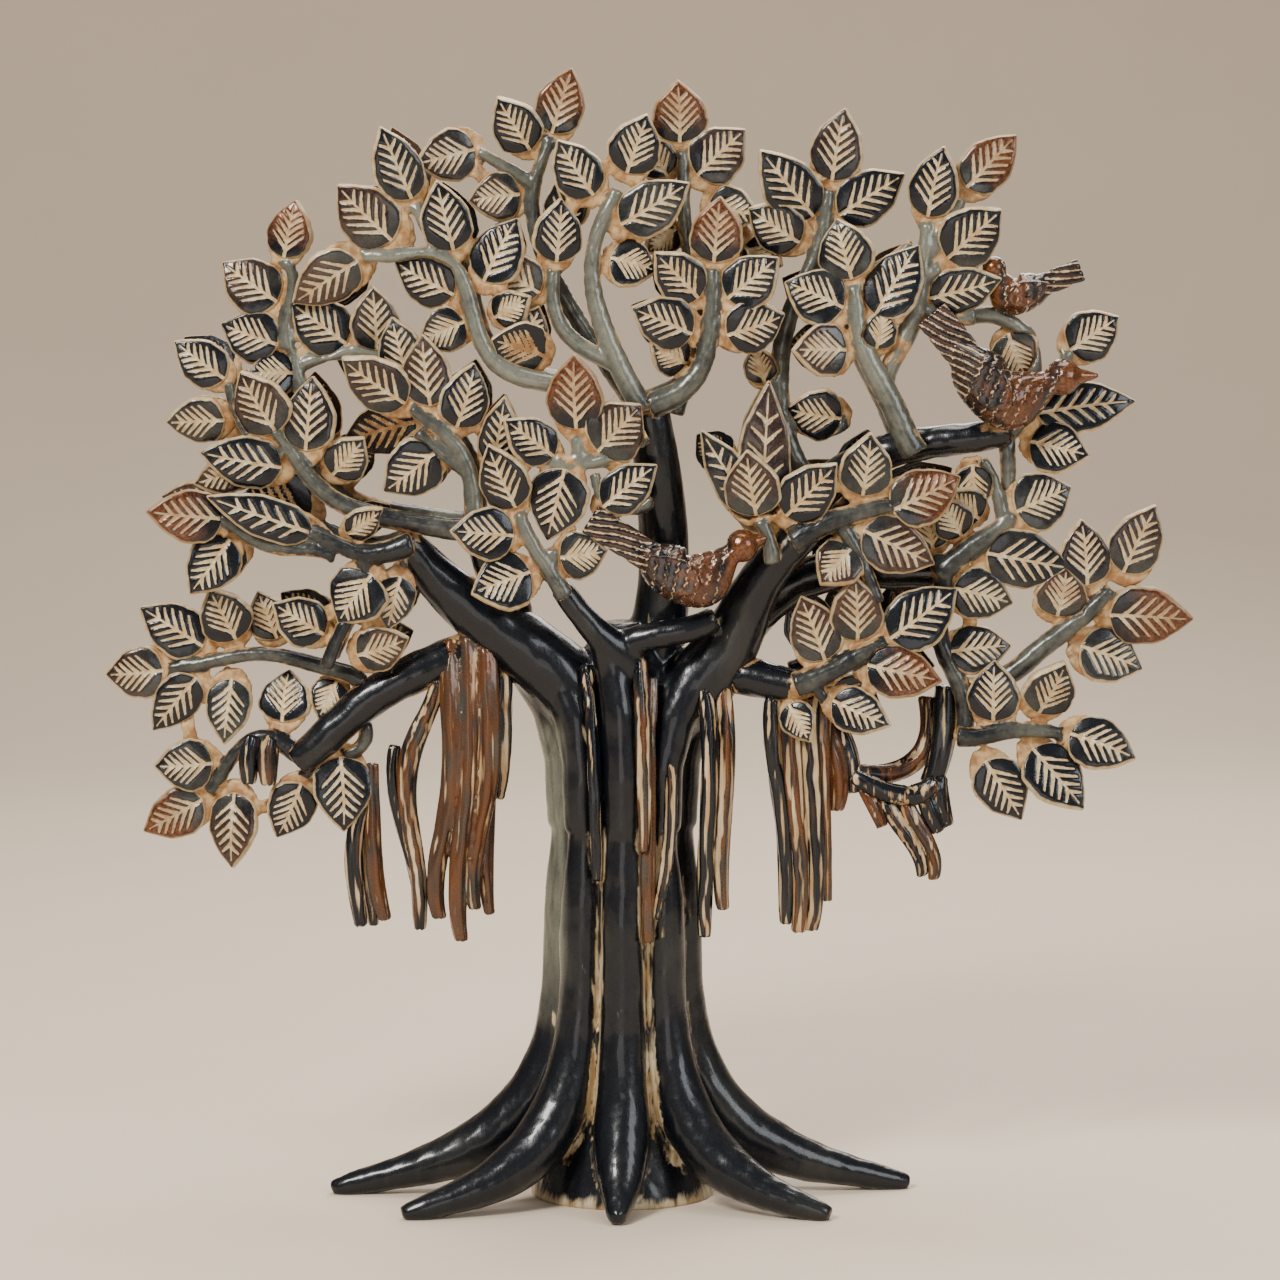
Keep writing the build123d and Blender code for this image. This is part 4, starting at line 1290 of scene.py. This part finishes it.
@dataclass
class Limb(Piece):
    """A trunk strand, root or bough as a smooth cast skin.

    Args:
        node: The CAD node.
        finish: Its material.
        slot: The record's material slot.
        around: The rest of the tree.
        flank: How pale the sides are.
        voxel: Size of the skin's faces.
        ripple: Depth of the long ripples.
    """

    node: str
    finish: bpy.types.Material
    slot: str
    around: Surroundings
    flank: float = 0.25
    voxel: float = 1.0 * MM
    ripple: float = 0.18 * MM

    def build(self) -> None:
        """Make the piece."""
        mesh = cast_skin(f"{self.node}_casting", SOLIDS[self.node], self.voxel, 4, 0.3 * MM)
        points, normals = corner_arrays(mesh)
        long_wave = smooth_noise(points * np.array([1.0, 1.0, 0.22]), 120.0, 3)
        wave = long_wave * self.ripple + smooth_noise(points, 60.0, 4) * self.ripple
        move_corners(mesh, above_table(points + normals * wave[:, None]))
        hollow = self.around.hollow(points, normals)
        dip = np.clip(-wave / self.ripple, 0, 1)
        put(mesh, "wear", np.clip(self.flank * sideways(normals) + 0.95 * hollow + 0.14 * dip, 0, 1))
        put(mesh, "tone", 0.5 + 0.5 * smooth_noise(points, 14.0, 8))
        self.show(mesh, self.finish, self.slot, self.node)


def tapered(course: Sequence[tuple[float, float, float, float]], sides: int = 14) -> Solid:
    """A closed round limb along a course.

    Args:
        course: Places and radii in millimetres.
        sides: Faces around it.

    Returns:
        The limb.
    """
    rows = np.array(course) * MM
    turn = np.linspace(0, 2 * math.pi, sides, endpoint=False)
    rings = []
    for index in range(len(rows)):
        ahead = rows[min(index + 1, len(rows) - 1), :3] - rows[max(index - 1, 0), :3]
        ahead /= np.linalg.norm(ahead)
        over = np.cross(ahead, (0.0, 1.0, 0.0))
        over /= np.linalg.norm(over)
        other = np.cross(ahead, over)
        ring = np.outer(np.cos(turn), over) + np.outer(np.sin(turn), other)
        rings.append(rows[index, :3] + ring * rows[index, 3])
    faces: list[list[int]] = []
    for index in range(len(rows) - 1):
        for side in range(sides):
            a, b = index * sides + side, index * sides + (side + 1) % sides
            faces += [[a, b, b + sides], [a, b + sides, a + sides]]
    last = (len(rows) - 1) * sides
    for side in range(1, sides - 1):
        faces += [[0, side + 1, side], [last, last + side, last + side + 1]]
    return Solid(np.concatenate(rings), np.array(faces))


@dataclass
class Trunk(Piece):
    """The column, the strands that run down it into the roots, and the main boughs, as one cast skin.

    Args:
        finish: Its material.
        around: The rest of the tree.
        voxel: Size of the skin's faces.
        ripple: Depth of the long ripples.
    """

    finish: bpy.types.Material
    around: Surroundings
    voxel: float = 1.0 * MM
    ripple: float = 0.14 * MM

    TAKEOVER = 136 * MM
    RING = 40 * MM
    DRAWN = 0.3
    CORE = 38 * MM
    SHADE_AT = (124, 134, 176, 190)
    SHADE = (1.0, 0.12, 0.12, 0.8)
    EDGE_AT = (45, 90, 160, 176)
    EDGE = (0, 1, 1, 0)
    NODES = ("trunk_core", "root_left", "root_front_left", "root_front", "root_front_right", "root_right",
             "left_bough", "right_bough", "crown_bough", "front_fork", "bird_perch")
    FLOWS = (
        ((-19.5, 0, 128, 5.9), (-20, -0.5, 150, 6.4), (-23, -2, 168, 7.4), (-31, -5, 183, 8.2)),
        ((-13.8, -13.8, 128, 5.9), (-14.2, -13.4, 150, 6.2), (-16, -11.5, 166, 7.2), (-22, -8, 180, 8.2),
         (-31, -7, 189, 8.6)),
        ((19.5, 0, 128, 5.9), (20, -0.5, 150, 6.4), (24, -2, 166, 7.4), (32, -5, 180, 8.2)),
        ((13.8, -13.8, 128, 5.9), (14.4, -13.4, 150, 6.2), (17, -11.5, 164, 7.2), (24, -8, 178, 8.2),
         (33, -7, 187, 8.2)),
        ((0, -19.5, 128, 5.9), (0, -19.3, 150, 6.1), (-1, -18.5, 168, 6.2), (-3, -17, 182, 5.8),
         (-6, -17.5, 192, 4.6)),
    )

    def build(self) -> None:
        """Make the piece."""
        solids = [self.lowered(SOLIDS[node]) if node.startswith("root_") else SOLIDS[node]
                  for node in self.NODES]
        solids += [tapered(course) for course in self.FLOWS]
        mesh = cast_skin("trunk_casting", joined(solids), self.voxel, 9, 0.35 * MM)
        points, normals = corner_arrays(mesh)
        groove = smooth_noise(points * np.array([1.0, 1.0, 0.16]), 170.0, 3)
        wave = groove * self.ripple + smooth_noise(points, 45.0, 4) * self.ripple
        move_corners(mesh, above_table(points + normals * wave[:, None]))
        self.wear(mesh, points, normals, groove)
        # the trunk's left side, 45 to 176 mm up, is greyer: its tone passes 1 there, which greys the patina
        height = points[:, 2] / MM
        edge = np.clip((-points[:, 0] - 17 * MM) / (4 * MM), 0, 1)
        edge *= np.interp(height, self.EDGE_AT, self.EDGE)
        put(mesh, "tone", 0.5 + 0.5 * smooth_noise(points, 14.0, 8) + 1.5 * edge)
        self.show(mesh, self.finish, "trunk_brass", *self.NODES)

    def wear(self, mesh: bpy.types.Mesh, points: Array, normals: Array, groove: Array) -> None:
        """Rub the skin back in its hollows, round its foot and along its grooves.

        Args:
            mesh: The skin.
            points: Its corners before the ripples.
            normals: Their normals.
            groove: The long grooves' depth.
        """
        height = points[:, 2]
        hollow = self.around.hollow(points, normals) * np.interp(height / MM, self.SHADE_AT, self.SHADE)
        middle = np.linalg.norm(points[:, :2], axis=1) < self.CORE
        low = np.clip(1 - height / (6 * MM), 0, 1) + middle * np.clip(1 - height / (22 * MM), 0, 1)
        line = np.clip(groove * 1.6 - 0.9, 0, 1) * np.clip(height / (60 * MM), 0, 1)
        put(mesh, "wear", np.clip(0.14 * sideways(normals) + 0.92 * hollow + 0.30 * low + 0.45 * line, 0, 1))

    def lowered(self, strand: Solid) -> Solid:
        """A strand with its top drawn in, where the flow to a bough takes over from it.

        Args:
            strand: The strand's solid.

        Returns:
            The shortened strand.
        """
        points = strand.points.copy()
        above = points[:, 2] > self.TAKEOVER
        ring = strand.points[~above & (points[:, 2] > self.TAKEOVER - self.RING)]
        centre = (ring.min(axis=0) + ring.max(axis=0)) / 2 if len(ring) else points[above].mean(axis=0)
        points[above, :2] = centre[:2] + (points[above, :2] - centre[:2]) * self.DRAWN
        points[above, 2] = self.TAKEOVER
        return Solid(points, strand.faces)


@dataclass
class RootBundle(Piece):
    """A bundle of hanging roots, each with its own shade.

    Args:
        node: The CAD node.
        finish: Its material.
        around: The rest of the tree.
        voxel: Size of the skin's faces.
    """

    node: str
    finish: bpy.types.Material
    around: Surroundings
    voxel: float = 0.6 * MM

    def build(self) -> None:
        """Make the bundle."""
        skins: list[Solid] = []
        wear: list[Array] = []
        tone: list[Array] = []
        for number, part in enumerate(loose_parts(SOLIDS[self.node])):
            mesh = cast_skin(f"{self.node}_{number}", part, self.voxel, 3, 0.3 * MM)
            points, normals = corner_arrays(mesh)
            angle = np.arctan2(normals[:, 1], normals[:, 0])
            flute = np.cos(angle * 5 + number + 40 * points[:, 2] + 1.2 * smooth_noise(points, 40.0, number))
            points = points + normals * ((flute - 0.4) * 0.28 * MM)[:, None]
            skins.append(Solid(points, np.array([list(polygon.vertices) for polygon in mesh.polygons])))
            hollow = self.around.hollow(points, normals)
            shade = 0.16 * math.sin(number * 2.4)
            wear.append(np.clip(0.30 - 0.30 * flute + 0.25 * hollow + shade, 0, 1))
            tone.append(np.full(len(points), (number * 0.381 + 0.2) % 1.0))
            bpy.data.meshes.remove(mesh)
        mesh = new_mesh(f"{self.node}_castings", joined(skins))
        put(mesh, "wear", np.concatenate(wear))
        put(mesh, "tone", np.concatenate(tone))
        self.show(mesh, self.finish, "hanging_root_brass", self.node)


@dataclass
class Bird(Piece):
    """A bird with cut feathers.

    Args:
        node: The CAD node.
        finish: Its material.
        around: The rest of the tree.
        voxel: Size of the skin's faces.
    """

    node: str
    finish: bpy.types.Material
    around: Surroundings
    voxel: float = 0.5 * MM

    TAIL_END = 0.38
    HEAD_START = 0.86
    CUT = 0.35 * MM

    def build(self) -> None:
        """Make the bird."""
        mesh = cast_skin(f"{self.node}_casting", SOLIDS[self.node], self.voxel, 5, 0.25 * MM)
        points, normals = corner_arrays(mesh)
        apart = points - points.mean(axis=0)
        _, vectors = np.linalg.eigh(apart.T @ apart)
        reach = apart @ vectors[:, 2]
        if abs(reach.min()) < reach.max():
            reach = -reach
        share = (reach - reach.min()) / (reach.max() - reach.min())
        cut = self.feathers(points, reach / MM, apart @ vectors[:, 1] / MM, share)
        move_corners(mesh, points - normals * (cut * self.CUT)[:, None])
        put(mesh, "wear", np.clip(self.around.hollow(points, normals) * 0.8, 0, 1))
        put(mesh, "tone", 0.5 + 0.5 * smooth_noise(points, 40.0, 2))
        put(mesh, "bird_along", share)
        put(mesh, "bird_cut", cut)
        self.show(mesh, self.finish, "bird_brass", self.node)

    def feathers(self, points: Array, reach: Array, across: Array, share: Array) -> Array:
        """How deeply each point is cut: stripes on the tail, scallops on the body, none on the head.

        Args:
            points: The bird's corners.
            reach: Millimetres along the bird from its middle.
            across: Millimetres across it.
            share: Place along it, from 0 at the tail to 1 at the beak.

        Returns:
            Values from 0 to 1.
        """
        stripe = np.cos(across * 2.6 + 0.8 * np.sin(reach * 0.35)) * 1.3 - 0.2
        row = np.abs(np.sin(across * 1.25 + np.floor(reach * 0.28) * 1.57)) * 1.8
        scallop = np.cos(reach * 1.75 + row) * 1.5 - 0.75 + 0.35 * smooth_noise(points, 260.0, 6)
        cut = np.clip(np.where(share < self.TAIL_END, stripe, scallop), 0, 1)
        return cut * np.clip((self.HEAD_START - share) / 0.05, 0, 1)


# ------------------------------------------------------------------ studio


@dataclass
class Studio:
    """Floor, lights and camera.

    Args:
        floor: The floor's finish.
        aim: Where the camera looks.
        spot: Where the camera stands.
        lens: Its focal length in millimetres.
    """

    floor: Matte
    aim: tuple[float, float, float] = (0.006, 0.0, 0.191)
    spot: tuple[float, float, float] = (0.006, -1.400, 0.333)
    lens: float = 116.4

    FLOOR = 14.0
    CURVE_FROM = 1.1
    CURVE = 0.8
    WALL = 4.0
    LIGHTS = (
        ("key", (-0.70, -1.05, 1.15), 0.38, 30.0, (1.0, 0.96, 0.90)),
        ("fill", (0.95, -0.85, 0.65), 0.6, 8.0, (0.95, 0.98, 1.0)),
        ("top", (0.1, 0.15, 1.3), 0.7, 14.0, (1.0, 0.98, 0.95)),
        ("back", (0.3, 1.0, 0.9), 0.7, 9.0, (1.0, 0.97, 0.93)),
        ("low", (0.0, -1.3, 0.12), 0.5, 2.0, (1.0, 0.95, 0.9)),
    )

    def build(self) -> None:
        """Make the studio."""
        self.build_floor()
        for name, spot, size, power, colour in self.LIGHTS:
            self.build_light(name, Vector(spot), size, power, colour)
        self.build_camera()
        world = bpy.data.worlds.new("studio")
        bpy.context.scene.world = world
        world.use_nodes = True
        world.node_tree.nodes["Background"].inputs[0].default_value = (0.90, 0.86, 0.82, 1.0)
        world.node_tree.nodes["Background"].inputs[1].default_value = 0.25

    def build_floor(self) -> None:
        """Make a floor that curves up into a backdrop."""
        course = [(-self.FLOOR, 0.0), (0.5, 0.0), (self.CURVE_FROM, 0.0)]
        course += [(self.CURVE_FROM + self.CURVE * math.sin(turn), self.CURVE - self.CURVE * math.cos(turn))
                   for turn in np.linspace(0.15, math.pi / 2, 12)]
        course.append((self.CURVE_FROM + self.CURVE, self.WALL))
        points = np.array([(x, y, z) for y, z in course for x in (-self.FLOOR, self.FLOOR)])
        faces = [[2 * step, 2 * step + 1, 2 * step + 3, 2 * step + 2] for step in range(len(course) - 1)]
        mesh = new_mesh("floor", Solid(points, np.array(faces)))
        floor = new_object("floor", mesh, self.floor.material())

    def build_light(self, name: str, spot: Vector, size: float, power: float, colour: Colour) -> None:
        """Make one soft light that looks at the tree.

        Args:
            name: Its name.
            spot: Where it stands.
            size: Its width.
            power: Its power in watts.
            colour: Its colour.
        """
        lamp = bpy.data.lights.new(name, "AREA")
        lamp.size = size
        lamp.energy = power
        lamp.color = colour
        light = bpy.data.objects.new(name, lamp)
        light.location = spot
        light.rotation_euler = (Vector(self.aim) - spot).to_track_quat("-Z", "Y").to_euler()
        bpy.context.collection.objects.link(light)

    def build_camera(self) -> None:
        """Make the camera."""
        data = bpy.data.cameras.new("camera")
        data.lens = self.lens
        data.sensor_width = 36.0
        camera = bpy.data.objects.new("camera", data)
        camera.location = self.spot
        camera.rotation_euler = (Vector(self.aim) - Vector(self.spot)).to_track_quat("-Z", "Y").to_euler()
        bpy.context.collection.objects.link(camera)
        bpy.context.scene.camera = camera


# ------------------------------------------------------------------ the tree

BLACK: Colour = (0.004, 0.0055, 0.009)
GREY: Colour = (0.165, 0.170, 0.135)
CREAM: Colour = (0.50, 0.34, 0.165)
OCHRE: Colour = (0.27, 0.13, 0.045)

TRUNK = Finish("trunk_patina", BLACK, GREY, (0.58, 0.50, 0.34), (0.40, 0.28, 0.14), film_share=0.08,
               gloss=0.30, coat=0.4, pit=0.0003, grain=(1.0, 1.0, 0.22))
BOUGH = Finish("bough_patina", BLACK, GREY, CREAM, OCHRE, film_share=0.12, gloss=0.28, coat=0.4)
TWIG = Finish("twig_patina", (0.010, 0.012, 0.015), (0.20, 0.205, 0.165), CREAM, OCHRE, film_share=0.6,
              gloss=0.30, coat=0.3)
LEAF = LeafFinish("leaf_patina", BLACK, (0.17, 0.175, 0.14), (0.70, 0.58, 0.36), (0.56, 0.38, 0.19),
                  film_share=0.2, gloss=0.26, coat=0.4, pit=0.00016)
ROOTS = StreakFinish("hanging_root_patina", BLACK, GREY, (0.58, 0.47, 0.30), (0.38, 0.24, 0.11),
                     film_share=0.3, gloss=0.28, coat=0.4, grain=(1.0, 1.0, 0.15))
FEATHERS = FeatherFinish("bird_patina", BLACK, GREY, (0.60, 0.50, 0.36), (0.42, 0.24, 0.10),
                         film_share=0.3, gloss=0.24, coat=0.5)

WARM_SPRAYS = {
    "lower_left": Warmth.OUTER, "left_middle": Warmth.OUTER, "left_upper": Warmth.HIGHEST,
    "left_inner": Warmth.NONE, "crown_left": Warmth.NONE, "crown_top": Warmth.HIGHEST,
    "crown_centre": Warmth.HIGHEST, "front_centre": Warmth.HIGHEST, "centre_right": Warmth.HIGHEST,
    "crown_right": Warmth.NONE, "right_inner": Warmth.OUTER, "right_front": Warmth.OUTER,
    "right_middle": Warmth.NONE, "right_outer": Warmth.OUTER, "right_top": Warmth.HIGHEST,
    "right_end": Warmth.NONE,
}

SOLIDS: dict[str, Solid] = {}


def main() -> None:
    """Build the studio and every piece of the tree."""
    logging.basicConfig(level=logging.INFO, format="%(message)s")
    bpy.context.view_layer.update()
    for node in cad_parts:
        SOLIDS[node] = welded(node)
    around = Surroundings(sorted(SOLIDS))
    trunk, bough, twig, leaf = (finish.material() for finish in (TRUNK, BOUGH, TWIG, LEAF))
    roots, feathers = ROOTS.material(), FEATHERS.material()
    cutter = LeafCutter(LEAF.veins)
    for node in sorted(SOLIDS):
        if node.endswith("bird"):
            Bird(node, feathers, around).build()
        elif "hanging" in node or node in ("left_root_knot", "trunk_aerial_roots"):
            RootBundle(node, roots, around).build()
        elif node == "rear_roots":
            Limb(node, trunk, "trunk_brass", around, 0.12, 1.0 * MM, 0.14 * MM).build()
        elif node.endswith("bough") and node not in Trunk.NODES:
            Limb(node, bough, "bough_brass", around).build()
    Trunk(trunk, around).build()
    for name, warmth in WARM_SPRAYS.items():
        Spray(name, warmth, cutter, leaf, twig, around).build()
    Studio(Matte("floor_paint", (0.72, 0.60, 0.47))).build()


if __name__ == "__main__":
    main()
